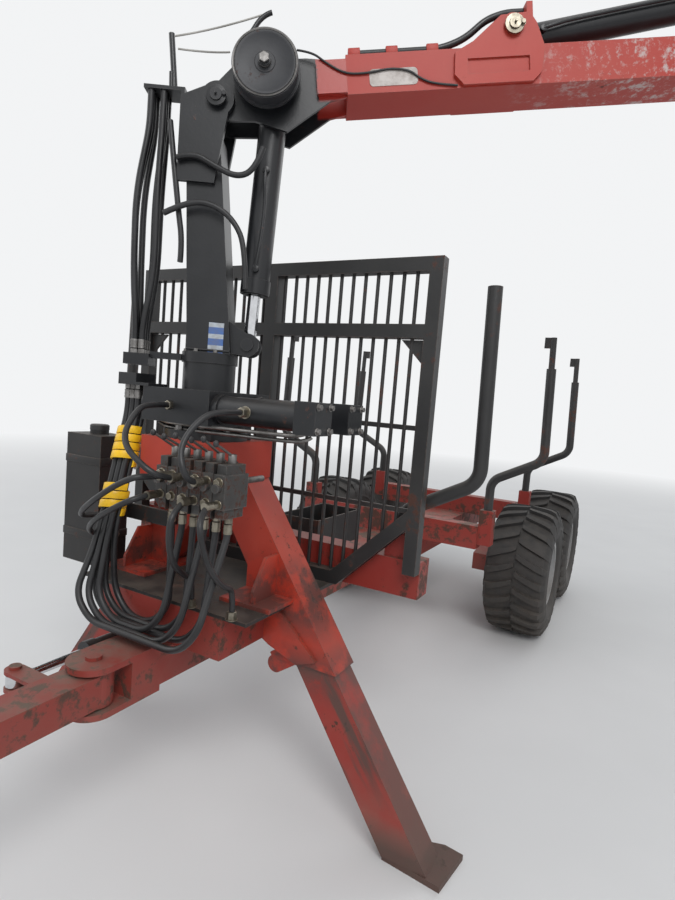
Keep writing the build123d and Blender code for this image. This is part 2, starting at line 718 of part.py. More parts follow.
def column_solid():
    """The leaning column with its collar, its ears for the boom and its cylinder foot."""
    half = COLUMN_HALF
    outline = [(-68, COLLAR_Z + 35), (82, COLLAR_Z + 35), (2, COLUMN_TOP), (-125, COLUMN_TOP), (-100, 2180)]
    shell = front_plate(outline, -half, half)
    hollow = front_plate([(-58, COLLAR_Z + 50), (68, COLLAR_Z + 50), (-8, 2250), (-105, 2250)], -half + 9, half - 9)
    column = shell - hollow
    column += rod((0, 0, COLLAR_Z), (0, 0, COLLAR_Z + 36), COLLAR_R)
    for side in (-1, 1):
        y0, y1 = sorted((side * half, side * (half + EAR_THICK)))
        ear = front_plate([(-130, 2180), (-5, 2180), (30, PIVOT_Z - 25), (PIVOT_R, PIVOT_Z + 55), (-130, PIVOT_Z)], y0, y1)
        ear += rod((PIVOT_R, y0, PIVOT_Z), (PIVOT_R, y1, PIVOT_Z), 55)
        column += ear
    column += box(-130, -118, -half, half, COLUMN_TOP - 10, PIVOT_Z - 10)
    column += cross_pin(PIVOT_R, PIVOT_Z, PIVOT_PIN_R, half + EAR_THICK + 14)
    lug_half = 28 + SIDE_CLEAR
    for side in (-1, 1):
        y0, y1 = sorted((side * lug_half, side * (lug_half + 16)))
        lug = front_plate([(60, 1625), (60, 1740), (LIFT_FOOT_R - 5, 1700), (LIFT_FOOT_R - 5, 1622)], y0, y1)
        lug += rod((LIFT_FOOT_R, y0, LIFT_FOOT_Z), (LIFT_FOOT_R, y1, LIFT_FOOT_Z), 40)
        z0, z1 = sorted((side * (lug_half + 16), side * (lug_half + 26)))
        lug += rod((LIFT_FOOT_R, z0, LIFT_FOOT_Z), (LIFT_FOOT_R, z1, LIFT_FOOT_Z), 22)
        column += lug
    return CRANE * column


def boom_base_solid():
    """Two side plates round the pivot that carry the boom and the lift cylinder's pin."""
    plates = []
    top = BOOM_LOW + BOOM_HEIGHT
    outline = [
        (0, -60),
        (115, -68),
        (220, -108),
        (372, BOOM_LOW - 6),
        (BOOM_JOIN, BOOM_LOW + 4),
        (BOOM_JOIN, top - 8),
        (300, top + 8),
        (75, top + 12),
        (0, 62),
    ]
    for side in (-1, 1):
        y0, y1 = sorted((side * (BASE_HALF - BASE_PLATE), side * BASE_HALF))
        plate = front_plate(outline, y0, y1) + rod((0, y0, 0), (0, y1, 0), 62)
        plates.append(plate)
        z0, z1 = sorted((side * BASE_HALF, side * BOOM_HALF))
        low, high = BOOM_LOW + BOOM_WALL, top - BOOM_WALL - 4
        spacer = front_plate([(BOOM_START, low), (BOOM_JOIN, low), (BOOM_JOIN, high), (BOOM_START, high)], z0, z1)
        plates.append(spacer)
    base = fuse(plates)
    reach = BASE_HALF - BASE_PLATE / 2
    base += front_plate([(140, top - 14), (290, top - 14), (290, top), (140, top)], -reach, reach)
    base += front_plate([(314, 0), (326, 0), (326, top - 10), (314, top - 10)], -reach, reach)
    base -= cross_pin(0, 0, PIVOT_PIN_R + PIN_FIT, 200)
    eye = BOOM.inverse() * CRANE * Location((LIFT_EYE_R, 0, LIFT_EYE_Z))
    base += cross_pin(eye.position.X, eye.position.Z, 20, BASE_HALF)
    return BOOM * base


def boom_solid():
    """The main boom's box with its taper and the fork for the elbow."""
    top = BOOM_LOW + BOOM_HEIGHT
    end = ELBOW_S - ELBOW_MOUTH
    end_top = top - 35
    outline = [
        (BOOM_JOIN, BOOM_LOW),
        (BOOM_JOIN, top),
        (BOOM_TAPER, top),
        (end, end_top),
        (end, BOOM_LOW - 40),
        (end - 220, BOOM_LOW),
    ]
    wall = BOOM_WALL
    inner = [
        (BOOM_JOIN + wall, BOOM_LOW + wall),
        (BOOM_JOIN + wall, top - wall),
        (BOOM_TAPER, top - wall),
        (end - wall, end_top - wall),
        (end - wall, BOOM_LOW + wall),
    ]
    beam = front_plate(outline, -BOOM_HALF, BOOM_HALF)
    beam -= front_plate(inner, -BOOM_HALF + wall, BOOM_HALF - wall)
    for side in (-1, 1):
        y0, y1 = sorted((side * (BOOM_HALF - 14), side * BOOM_HALF))
        cheek = front_plate(
            [(end - 60, end_top), (end, end_top), (ELBOW_S, 28), (ELBOW_S, -88), (end - 60, BOOM_LOW - 29)], y0, y1
        )
        cheek += rod((ELBOW_S, y0, ELBOW_T), (ELBOW_S, y1, ELBOW_T), 58)
        beam += cheek
    beam += cross_pin(ELBOW_S, ELBOW_T, ELBOW_PIN_R, BOOM_HALF + 14)
    return BOOM * beam


def ram_bracket_solid():
    """The two big gusset plates on the boom with the outer boom cylinder's pin."""
    top = BOOM_LOW + BOOM_HEIGHT
    outline = [
        (815, -8),
        (1045, -8),
        (1075, 20),
        (1088, top - 20),
        (1062, JIB_RAM_T + 8),
        (1040, JIB_RAM_T + 42),
        (945, JIB_RAM_T + 36),
        (850, top + 12),
        (790, top - 18),
        (785, 25),
    ]
    plates = []
    for side in (-1, 1):
        y0, y1 = sorted((side * BOOM_HALF, side * (BOOM_HALF + BRACKET_PLATE)))
        plate = front_plate(outline, y0, y1)
        plate += rod((JIB_RAM_S, y0, JIB_RAM_T), (JIB_RAM_S, y1, JIB_RAM_T), 42)
        slot = [(830, 25), (1035, 25), (1035, 72), (830, 72)]
        plate -= front_plate(slot, y0 - 1, y0 + BRACKET_PLATE / 2) if side < 0 else front_plate(
            slot, y1 - BRACKET_PLATE / 2, y1 + 1
        )
        plates.append(plate)
        z0, z1 = sorted((side * (BOOM_HALF + BRACKET_PLATE), side * (BOOM_HALF + BRACKET_PLATE + 14)))
        plates.append(rod((JIB_RAM_S, z0, JIB_RAM_T), (JIB_RAM_S, z1, JIB_RAM_T), 28))
    bracket = fuse(plates)
    crest = JIB_RAM_T + 58
    bracket += box(1030, 1050, -BOOM_HALF - BRACKET_PLATE, BOOM_HOSE_LAT + BOOM_HOSE_R + 2, crest - 40, crest + 16)
    bracket += cross_pin(JIB_RAM_S, JIB_RAM_T, 20, BOOM_HALF + BRACKET_PLATE + 6)
    return BOOM * bracket


def winch_solid():
    """The small winch on the boom's near side, its disc outwards."""
    s, t = WINCH_S, WINCH_T
    near = -BASE_HALF
    drum = rod((s, near, t), (s, near - 40, t), WINCH_R - 20)
    drum += rod((s, near - 40, t), (s, near - 50, t), WINCH_R + 4)
    drum += rod((s, near - 50, t), (s, near - 92, t), WINCH_R - 4)
    drum += rod((s, near - 92, t), (s, near - 104, t), WINCH_R)
    drum += rod((s, near - 104, t), (s, near - 126, t), 20)
    return BOOM * drum


def lift_solids():
    """The lift cylinder's barrel and its rod."""
    barrel, piston_rod = ram(
        LIFT_LENGTH, LIFT_BARREL, LIFT_BARREL_R, LIFT_ROD_R, 34, 20, 28, LIFT_OUT, LIFT_IN
    )
    return LIFT_RAM * barrel, LIFT_RAM * piston_rod


def jib_ram_solids():
    """The outer boom cylinder's barrel and its rod."""
    barrel, piston_rod = ram(
        JIB_RAM_LENGTH, JIB_BARREL, JIB_BARREL_R, JIB_ROD_R, 38, 20, 42, JIB_OUT, JIB_IN
    )
    return JIB_RAM * barrel, JIB_RAM * piston_rod


def jib_solid():
    """The outer boom: its lever, elbow boss, box and the barrel of its own cylinder."""
    w, h, wall = JIB_HALF_WIDTH, JIB_HEIGHT / 2, JIB_WALL
    beam = front_plate([(90, -h), (90, h), (JIB_LENGTH, h), (JIB_LENGTH, -h)], -w, w)
    beam -= front_plate(
        [(130, -h + wall), (130, h - wall), (JIB_LENGTH + 1, h - wall), (JIB_LENGTH + 1, -h + wall)],
        -w + wall,
        w - wall,
    )
    lever = JIB.inverse() * BOOM * Location((JIB_EYE[0], 0, JIB_EYE[1]))
    lx, lz = lever.position.X, lever.position.Z
    for side in (-1, 1):
        y0, y1 = sorted((side * (w - JIB_CHEEK), side * w))
        outline = [(-20, -55), (100, -h), (330, -h), (330, h), (80, h + 70), (lx + 34, lz + 12), (lx - 34, lz - 6)]
        cheek = front_plate(outline, y0, y1)
        cheek += rod((0, y0, 0), (0, y1, 0), 58)
        cheek += rod((lx, y0, lz), (lx, y1, lz), 40)
        beam += cheek
        z0, z1 = sorted((side * w, side * (w + 12)))
        beam += rod((lx, z0, lz), (lx, z1, lz), 26)
    beam += rod((0, -w, 0), (0, w, 0), 42)
    beam -= cross_pin(0, 0, ELBOW_PIN_R + PIN_FIT, 200)
    z = h + EXT_RAM_R + 8
    bore = rod((EXT_BARREL_END - EXT_STROKE - 45, 0, z), (EXT_BARREL_END + 1, 0, z), EXT_ROD_R + ROD_FIT)
    beam += rod((EXT_BARREL_END - EXT_STROKE - 90, 0, z), (EXT_BARREL_END, 0, z), EXT_RAM_R)
    for x in (EXT_BARREL_END - EXT_STROKE - 60, EXT_BARREL_END - 70):
        beam += box(x, x + 30, -36, 36, h - 2, z)
    beam -= bore
    return JIB * beam


def extension_solid():
    """The sliding inner box with the tip fork and the rod of its cylinder."""
    w = JIB_HALF_WIDTH - JIB_WALL - EXT_FIT
    h = JIB_HEIGHT / 2 - JIB_WALL - EXT_FIT
    start = JIB_LENGTH - EXT_INSIDE
    beam = box(start, TIP_S - 90, -w, w, -h, h)
    beam -= box(start - 1, TIP_S - 110, -w + 7, w - 7, -h + 7, h - 7)
    for side in (-1, 1):
        y0, y1 = sorted((side * (w - 14), side * w))
        cheek = front_plate([(TIP_S - 120, -h), (TIP_S - 120, h), (TIP_S, 32), (TIP_S, -32)], y0, y1)
        beam += cheek + rod((TIP_S, y0, 0), (TIP_S, y1, 0), 34)
    beam += cross_pin(TIP_S, 0, TIP_PIN_R, w + 8)
    z = JIB_HEIGHT / 2 + EXT_RAM_R + 8
    lug = JIB_LENGTH + 40
    beam += box(lug, lug + 30, -25, 25, h - 3, z + 25)
    beam += rod((EXT_BARREL_END - EXT_STROKE - 30, 0, z), (lug + 10, 0, z), EXT_ROD_R)
    return JIB * beam


def link_solid():
    """The cross link: an upper eye along the boom's pin and a lower eye turned by a quarter."""
    half = JIB_HALF_WIDTH - JIB_WALL - EXT_FIT - 14 - SIDE_CLEAR
    link = rod((0, -half, 0), (0, half, 0), 30)
    link += box(-20, 20, -half, half, -LINK_DROP, 0)
    link += rod((-20, 0, -LINK_DROP), (20, 0, -LINK_DROP), 28)
    link -= rod((0, -60, 0), (0, 60, 0), TIP_PIN_R + PIN_FIT)
    link -= rod((-60, 0, -LINK_DROP), (60, 0, -LINK_DROP), TIP_PIN_R + PIN_FIT)
    return HANG * link


ROTATOR_Z = -LINK_DROP - ROTATOR_DROP


def rotator_solid():
    """The rotator's fixed head under the link."""
    head = rod((0, 0, -LINK_DROP - 50), (0, 0, ROTATOR_Z), 62)
    for side in (-1, 1):
        a, b = sorted((side * (20 + SIDE_CLEAR), side * (20 + SIDE_CLEAR + 14)))
        head += box(a, b, -28, 28, -LINK_DROP - 52, -LINK_DROP)
        head += rod((a, 0, -LINK_DROP), (b, 0, -LINK_DROP), 28)
    head += rod((-45, 0, -LINK_DROP), (45, 0, -LINK_DROP), TIP_PIN_R)
    return HANG * head


GRAPPLE_TOP = ROTATOR_Z - 6
JAW_PIN_Z = GRAPPLE_TOP - JAW_PIN_DROP


def grapple_frame_solid():
    """The grapple's head: a round flange over two cheeks with the jaw pins."""
    top, x, z = GRAPPLE_TOP, JAW_PIN_X, JAW_PIN_Z
    head = rod((0, 0, top), (0, 0, top - 28), 70)
    head += rod((0, 0, ROTATOR_Z - SEAT_GAP), (0, 0, top), 24)
    head += box(-95, 95, -78, 78, top - 44, top - 28)
    outline = [(-95, top - 30), (95, top - 30), (x + 42, z + 10), (x + 28, z - 36), (-x - 28, z - 36), (-x - 42, z + 10)]
    for side in (-1, 1):
        y0, y1 = sorted((side * 66, side * 78))
        head += front_plate(outline, y0, y1)
        head += cross_pin(side * x, z, JAW_PIN_R, 88)
    return HANG * head




def jaw_solid(side):
    """One curved jaw: two side plates round the log space, ribs and a lever above the pin."""
    x, z = JAW_PIN_X, JAW_PIN_Z
    lx, lz = x + JAW_LEVER_X, z + JAW_LEVER_Z
    curve = [
        (x - 32, z + 10),
        (lx - 24, lz + 16),
        (lx + 20, lz + 2),
        (x + 84, z + 20),
        (x + 190, z - 90),
        (x + 215, z - 210),
        (x + 150, z - 330),
        (x + 30, z - 400),
        (x - 118, z - 418),
        (x - 116, z - 400),
        (x + 10, z - 370),
        (x + 100, z - 305),
        (x + 150, z - 205),
        (x + 125, z - 115),
        (x + 20, z - 45),
    ]
    lane = JAW_LANES[0] if side > 0 else JAW_LANES[1]
    plates = []
    for y in (-lane, lane):
        y0, y1 = y - 8, y + 8
        plates.append(front_plate(curve, y0, y1))
        plates.append(rod((x, y0, z), (x, y1, z), 34))
        plates.append(rod((lx, y0, lz), (lx, y1, lz), 21))
    jaw = fuse(plates)
    for rx, rz in ((x + 172, z - 100), (x + 178, z - 262), (x + 84, z - 352)):
        jaw += rod((rx, -lane, rz), (rx, lane, rz), 13)
    jaw += rod((x, -lane, z), (x, lane, z), 26)
    jaw -= rod((x, -80, z), (x, 80, z), JAW_PIN_R + PIN_FIT)
    if side > 0:
        jaw += rod((lx, -lane, lz), (lx, lane, lz), 11)
    else:
        jaw = mirror(jaw, Plane.YZ)
    return HANG * jaw


GRAPPLE_RAM_LENGTH = 2 * (JAW_PIN_X + JAW_LEVER_X)


def grapple_ram_solids():
    """The short cylinder between the jaws' two levers."""
    barrel, piston_rod = ram(GRAPPLE_RAM_LENGTH, GRAPPLE_BARREL, 24, 9, 18, 11, 11, 0, GRAPPLE_IN)
    place = HANG * Location((JAW_PIN_X + JAW_LEVER_X, 0, JAW_PIN_Z + JAW_LEVER_Z), (0, 180, 0))
    return place * barrel, place * piston_rod


# Drawbar
def drawbar_solid():
    """The steered drawbar, its eye and the arm for the steering cylinder."""
    z0, z1 = NECK_MID_Z - DRAWBAR_HEIGHT / 2, NECK_MID_Z + DRAWBAR_HEIGHT / 2
    lift = 4
    head = rod((0, DRAWBAR_PIVOT_Y, z0 - lift), (0, DRAWBAR_PIVOT_Y, z1 + lift), 62)
    neck = box(-DRAWBAR_HALF, DRAWBAR_HALF, EYE_Y + 180, DRAWBAR_PIVOT_Y, z0, z1)
    neck -= box(-DRAWBAR_HALF + 9, DRAWBAR_HALF - 9, EYE_Y + 200, DRAWBAR_PIVOT_Y - 110, z0 + 9, z1 - 9)
    bar = head + neck
    thick = EYE_THICK / 2
    bar += box(-32, 32, EYE_Y + 40, EYE_Y + 182, EYE_Z - thick, EYE_Z + thick)
    bar += rod((0, EYE_Y, EYE_Z - thick), (0, EYE_Y, EYE_Z + thick), EYE_R)
    bar -= rod((0, EYE_Y, EYE_Z - 50), (0, EYE_Y, EYE_Z + 50), EYE_BORE_R)
    bar -= rod((0, DRAWBAR_PIVOT_Y, z0 - 20), (0, DRAWBAR_PIVOT_Y, z1 + 20), DRAWBAR_PIN_R + PIN_FIT)
    x, y = STEER_EYE
    for z in (NECK_MID_Z - 34, NECK_MID_Z + 22):
        bar += box(x, -DRAWBAR_HALF, y - 30, y + 30, z, z + 12)
        bar += rod((x, y, z), (x, y, z + 12), 30)
    bar += rod((x, y, NECK_MID_Z + 34), (x, y, NECK_MID_Z + 44), 18)
    return bar


STEER_LENGTH = hypot(STEER_EYE[0] - STEER_BASE[0], STEER_EYE[1] - STEER_BASE[1])
STEER_HEADING = degrees(atan2(STEER_EYE[1] - STEER_BASE[1], STEER_EYE[0] - STEER_BASE[0]))


def steer_ram_solids():
    """The steering cylinder's barrel and its rod."""
    barrel, piston_rod = ram(
        STEER_LENGTH, STEER_BARREL, STEER_BARREL_R, STEER_ROD_R, 26, STEER_PIN_R, 17, STEER_STROKE, STEER_STROKE, 38
    )
    flat = Location((STEER_BASE[0], STEER_BASE[1], NECK_MID_Z), (0, 0, STEER_HEADING)) * Location((0, 0, 0), (90, 0, 0))
    return flat * barrel, flat * piston_rod


# Gear on the stand
def tank_solid():
    """The flat oil tank on the trailer's right, on its bracket."""
    x0, x1, y0, y1, z0, z1 = TANK
    tank = box(x0, x1, y0, y1, z0, z1)
    tank += rod(((x0 + x1) / 2, (y0 + y1) / 2, z1), ((x0 + x1) / 2, (y0 + y1) / 2, z1 + 25), 35)
    reach = -sleeve_inner_x(960) - 50
    tank += box(x1 - 60, reach, y1, y1 + 12, 955, 1015)
    tank += box(reach - 50, reach, y1 + 2, LEG_Y - SLEEVE_DEPTH / 2, 960, 1010)
    return tank


def valve_solid():
    """The bank of control valves with its levers' caps."""
    x0, x1, y0, y1, z0, z1 = VALVE
    bank = box(x0, x1, y0, y1, z0 + 30, z1 - 30)
    count = 6
    pitch = (x1 - x0) / count
    for i in range(count):
        x = x0 + (i + 0.5) * pitch
        bank += box(x - pitch * 0.38, x + pitch * 0.38, y0 + 10, y1 - 10, z0, z1)
        bank += rod((x, y0 - 18, z1 - 70), (x, y0, z1 - 70), 14)
    bank += box(x0 + 10, STAND_HALF - 20, y1 - 2, STAND_FRONT, z1 - 60, z1 - 10)
    return bank


def tray_solid():
    """The open dark tray on the neck, behind the headboard."""
    x0, x1, y0, y1, z0, z1 = TRAY
    wall = 6
    tray = box(x0, x1, y0, y1, z0, z1)
    tray -= box(x0 + wall, x1 - wall, y0 + wall, y1 - wall, z0 + wall, z1 + 1)
    for y in (y0 + 40, y1 - 70):
        tray += box(-40, 40, y, y + 30, NECK_TOP, z0)
    return tray


# Hoses
def hose(points, radius):
    """A hose along straight runs, joined by the largest arcs that the runs allow."""
    route = [Vector(*point) for point in points]
    radii = []
    for before, corner, after in zip(route, route[1:], route[2:]):
        one, two = corner - before, after - corner
        turn = radians(one.get_angle(two))
        radii.append(0.45 * min(one.length, two.length) / tan(turn / 2))
    print("hose bends", [round(r) for r in radii])
    path = FilletPolyline(*route, radius=radii)
    start = Plane(route[0], z_dir=(route[1] - route[0]).normalized())
    return sweep(start * Circle(radius), path=path)


def hose_places():
    """Where the six hoses of a bundle lie round its middle: two rows of three."""
    half = HOSE_PITCH / 2
    return [(row, across) for row in (half, -half) for across in (HOSE_PITCH, 0, -HOSE_PITCH)]


def drop_point(share):
    """A point of the straight drop through the wraps, from its head to its foot."""
    x, y = HOSE_DROP
    fx, fy, fz = HOSE_DROP_FOOT
    return (x + (fx - x) * share, y + (fy - y) * share, HOSE_DROP_HEAD + (fz - HOSE_DROP_HEAD) * share)


def stand_hoses_solids():
    """The six hoses from the block under the column, down through the wraps and up to the valves."""
    x0, x1, y0, y1, z0, z1 = VALVE
    pitch = (x1 - x0) / 6
    x, y = HOSE_DROP
    fx, fy, fz = HOSE_DROP_FOOT
    top = RACK_Z + RACK_R + 12
    corner = HOSE_LOOP_CORNER
    solids = []
    for k, (oy, ox) in enumerate(hose_places()):
        left, right = fx + ox, x0 + (k % 3 * 2 + k // 3 + 0.5) * pitch
        low = HOSE_LOOP_LOW + 5 * (k % 2)
        layer = HOSE_LAYER_MIDDLE + (2.5 - k) * HOSE_LAYER_PITCH
        middle = (y0 + y1) / 2
        route = [
            (x + ox, y + oy, top),
            (x + ox, y + oy, HOSE_DROP_HEAD),
            (left, fy + oy, fz),
            (left, layer, low + corner),
            (left + corner, layer, low),
            (right - corner, layer, low),
            (right, layer, low + corner),
            (right, middle, z0 - 60),
            (right, middle, z0),
        ]
        solids.append(hose(route, HOSE_R))
    return Compound(children=solids)


def wraps_solids():
    """The two lengths of wrap round the straight drop."""
    solids = []
    for a, b in WRAP_SPANS:
        sleeve = rod(drop_point(a), drop_point(b), WRAP_R)
        solids.append(sleeve - rod(drop_point(a - 0.02), drop_point(b + 0.02), WRAP_R - WRAP_WALL))
    return Compound(children=solids)


def column_hoses_solids():
    """The six hoses that hang down the column's back, from its arm to its lower block."""
    # each hose: r and lateral place at the top, and r at two heights of its bulge
    table = (
        (-205, 30, -214, -212),
        (-205, 0, -224, -220),
        (-203, -30, -208, -206),
        (-245, 30, -274, -270),
        (-247, 0, -290, -286),
        (-246, -30, -280, -278),
    )
    solids = []
    for (dr, lat), (top_r, top_lat, high_r, low_r) in zip(hose_places(), table):
        foot = COLUMN_HOSE_R + dr
        route = [
            (top_r, top_lat, COLUMN_HOSE_TOP),
            (top_r, top_lat, COLUMN_HOSE_TOP - 120),
            (high_r, top_lat * 1.1, 2150),
            (low_r, (top_lat + lat) / 2, 1890),
            (foot, lat, 1700),
            (foot, lat, COLUMN_HOSE_LOW),
        ]
        solids.append(hose(route, HOSE_R))
    return CRANE * Compound(children=solids)


def hose_post_solid():
    """The arm and the post at the column's head, and the block at its foot, that hold the hoses."""
    top = COLUMN_HOSE_TOP
    post = box(-268, -130, -45, 45, top, top + 12)
    post += box(-142, -130, -45, 45, 2370, top + 12)
    post += rod((-180, 20, top + 8), (-203, 20, 2700), 10)
    post += rod((-178, -36, top + 8), (-180, -36, top + 60), 8)
    low = COLUMN_HOSE_LOW
    half = HOSE_BLOCK_HALF
    post += box(COLUMN_HOSE_R - half, COLUMN_HOSE_R + half, -half, half, low - HOSE_BLOCK + 2, low)
    post += box(COLUMN_HOSE_R + half - 5, -COLLAR_R - SEAT_GAP, -20, 20, low - 12, low + 10)
    return CRANE * post


def boom_hose_solid():
    """The hose along the boom's top and over the bracket to the outer boom cylinder."""
    seat = BOOM_LOW + BOOM_HEIGHT + BOOM_HOSE_R + SEAT_GAP
    crest = JIB_RAM_T + 62
    profile = [
        (450, seat),
        (600, seat),
        (745, seat + 1),
        (830, seat + 28),
        (905, crest - 18),
        (970, crest),
        (1030, crest),
    ]
    route = [(along, BOOM_HOSE_LAT, up) for along, up in profile]
    return BOOM * hose(route, BOOM_HOSE_R)


def build():
    """Every node of the trailer, by name."""
    nodes = {}
    for name, side, y in wheel_places():
        place = Location((side * WHEEL_GAUGE / 2, y, AXLE_Z))
        tyre, rim = tyre_solid(), rim_solid()
        if side < 0:
            rim = mirror(rim, Plane.YZ)
        nodes["tyre_" + name] = place * tyre
        nodes["rim_" + name] = place * rim
    for side_name, side in (("left", 1), ("right", -1)):
        nodes["bogie_" + side_name] = bogie_solid(side)
        nodes["leg_" + side_name] = leg_solid(side)
        stakes = []
        for (y, z, half), top in zip(bunk_table(), (FRONT_STAKE_TOP, REAR_STAKE_TOP, REAR_STAKE_TOP)):
            stakes.append(stake_solid(side, y, z, top))
        nodes["stakes_" + side_name] = Compound(children=stakes)
    tips = [stake_tip_solid(side, y) for side in (-1, 1) for y in (BUNK_MID_Y, BUNK_REAR_Y)]
    nodes["stake_tips"] = Compound(children=tips)
    nodes["chassis"] = chassis_solid()
    nodes["neck"] = neck_solid()
    nodes["saddle"] = saddle_solid()
    nodes["deck"] = deck_solid()
    nodes["bogie_axle"] = bogie_axle_solid()
    for name, row in zip(("front", "mid", "rear"), bunk_table()):
        nodes["bunk_" + name] = bunk_solid(*row)
    nodes["headboard"] = headboard_solid()
    nodes["crane_stand"] = stand_solid()
    nodes["slew_base"] = slew_base_solid()
    nodes["slew_cylinders"] = slew_cylinders_solids()
    nodes["oil_tank"] = tank_solid()
    nodes["valve_bank"] = valve_solid()
    nodes["tool_tray"] = tray_solid()
    nodes["drawbar"] = drawbar_solid()
    nodes["steer_barrel"], nodes["steer_rod"] = steer_ram_solids()
    nodes["column"] = column_solid()
    nodes["boom_base"] = boom_base_solid()
    nodes["boom"] = boom_solid()
    nodes["ram_bracket"] = ram_bracket_solid()
    nodes["winch"] = winch_solid()
    nodes["hose_post"] = hose_post_solid()
    nodes["column_hoses"] = column_hoses_solids()
    nodes["stand_hoses"] = stand_hoses_solids()
    nodes["hose_wraps"] = wraps_solids()
    nodes["boom_hose"] = boom_hose_solid()
    nodes["lift_barrel"], nodes["lift_rod"] = lift_solids()
    nodes["jib_barrel"], nodes["jib_rod"] = jib_ram_solids()
    nodes["jib"] = jib_solid()
    nodes["extension"] = extension_solid()
    nodes["link"] = link_solid()
    nodes["rotator"] = rotator_solid()
    nodes["grapple_frame"] = grapple_frame_solid()
    nodes["jaw_outer"] = jaw_solid(1)
    nodes["jaw_inner"] = jaw_solid(-1)
    nodes["grapple_barrel"], nodes["grapple_rod"] = grapple_ram_solids()
    return nodes


os.makedirs("parts", exist_ok=True)
NODES = build()
for node_name, solid in NODES.items():
    export_step(TO_EYE * solid, f"parts/{node_name}.step")
print(len(NODES), "nodes")
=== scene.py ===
from math import cos, pi, radians, sin

import bpy
from mathutils import Matrix, Vector


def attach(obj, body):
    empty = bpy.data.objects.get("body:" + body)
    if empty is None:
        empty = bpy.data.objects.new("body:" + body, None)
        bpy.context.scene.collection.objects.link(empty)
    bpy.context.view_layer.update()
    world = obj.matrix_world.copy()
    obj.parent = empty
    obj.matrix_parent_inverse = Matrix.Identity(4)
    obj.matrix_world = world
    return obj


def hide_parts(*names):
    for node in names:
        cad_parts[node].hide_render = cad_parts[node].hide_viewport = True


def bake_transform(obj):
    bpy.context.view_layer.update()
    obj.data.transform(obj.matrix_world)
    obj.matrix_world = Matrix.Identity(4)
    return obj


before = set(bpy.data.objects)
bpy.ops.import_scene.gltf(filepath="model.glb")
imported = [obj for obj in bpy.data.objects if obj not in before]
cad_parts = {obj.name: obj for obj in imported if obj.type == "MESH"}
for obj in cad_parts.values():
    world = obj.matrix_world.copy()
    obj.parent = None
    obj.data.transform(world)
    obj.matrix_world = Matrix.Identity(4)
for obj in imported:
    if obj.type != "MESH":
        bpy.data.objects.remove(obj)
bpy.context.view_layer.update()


def at(x, y, z):
    """A move by x, y and z."""
    return Matrix.Translation((x, y, z))


def about(axis, angle):
    """A turn about an axis."""
    return Matrix.Rotation(angle, 4, axis)


# Turns that lay a standing piece down, and mirrors
LAY_ALONG_X = about("Y", pi / 2)
LAY_ALONG_Y = about("X", pi / 2)
MIRROR_X = Matrix.Scale(-1, 4, (1, 0, 0))
MIRROR_Z = Matrix.Scale(-1, 4, (0, 0, 1))

# Frames, in metres. The ground frame has its origin on the ground under the middle of the bogies.
FLOOR_Z = -0.57
CRANE_Y = -3.0
RAM_PIN = Vector((0.985, 0, 0.165))
ELBOW_PIN = Vector((2.36, 0, -0.03))
GROUND = at(0, 4.6, FLOOR_Z)
STAND = GROUND @ at(0, CRANE_Y, 0)
CRANE = STAND @ about("Z", radians(30))
BOOM = CRANE @ at(-0.01, 0, 2.45) @ about("Y", radians(-8.4))
LIFT_RAM = CRANE @ at(0.168, 0, 2.44) @ about("Y", radians(92.42))
JIB_RAM = BOOM @ Matrix.Translation(RAM_PIN) @ about("Y", radians(-7.84))

# Sizes, in metres. A box is given by x, y and z, each from and to; heights are over the ground.
TYRE_R = 0.437
CARCASS_R = 0.414
WHEEL_X = 0.75
WHEEL_Y = 0.5
STUD_R = 0.124
STUD_FACE = 0.0362
STUDS = 8
DECK_TOP = 0.78
RACK_Y = 0.105
RACK_Z = 1.432
RACK_R = 0.046
RACK_END = 0.548
RACK_BOLT = 0.036
VALVE = (0.05, 0.33, -3.275, -3.165, 1.11, 1.275)
VALVE_MIDDLE = (VALVE[2] + VALVE[3]) / 2
SECTIONS = range(6)
SECTION_WIDTH = (VALVE[1] - VALVE[0]) / len(SECTIONS)
PORT_LOW = VALVE[4] + 0.045
PORT_HIGH = VALVE[4] + 0.112
TANK = (-0.6, -0.405, -3.12, -2.98, 0.78, 1.285)
BOOM_SIDE = -0.09
WINCH = Vector((0.17, -0.172, 0.058))
CORD_Y = -0.12
EAR_X = 0.235
EAR_Z = 1.20
FERRULE_LENGTH = 0.047
BLOCK_TOP = 1.442
COLUMN_BLOCK = (-0.25, 1.605)

# The stand's bundle of hoses: its straight drop, each hose's place across and along it, and its wraps
DROP_HEAD = Vector((-0.225, -3.125, 1.395))
DROP_FOOT = Vector((-0.213, -3.24, 0.955))
BUNDLE = [(across, row) for row in (0.0125, -0.0125) for across in (0.025, 0, -0.025)]
HOSE_R = 0.0095
WRAP_R = 0.046
WRAP_WALL = 0.0058
WRAP_PITCH = 0.030
WRAP_BAND = 0.0265
WRAP_EDGE = 0.003
WRAP_ROUNDING = 0.0012
WRAP_STEPS = 28
WRAP_SPANS = ((0.12, 0.5), (0.57, 0.88))

# The tread: pairs of distance from the middle plane and radius, and the lugs' measures
CROWN = ((0.0, TYRE_R), (0.11, 0.436), (0.15, 0.431), (0.175, 0.421), (0.192, 0.398), (0.2, 0.36))
LUG_COUNT = 25
LUG_START = 0.004
LUG_LENGTH = 0.195
LUG_HALF = 0.020
LUG_SWEEP = 0.075
LUG_CURVE = 0.8
LUG_WIDENING = 0.3
LUG_TAPER = 0.25
LUG_LEAN = 0.004
LUG_ROOT = CARCASS_R - 0.010
SHOULDER_X = 0.165
SHOULDER_SLOPE = 2.2

SIDES = (("left", 1), ("right", -1))
ENDS = (("front", -1), ("rear", 1))


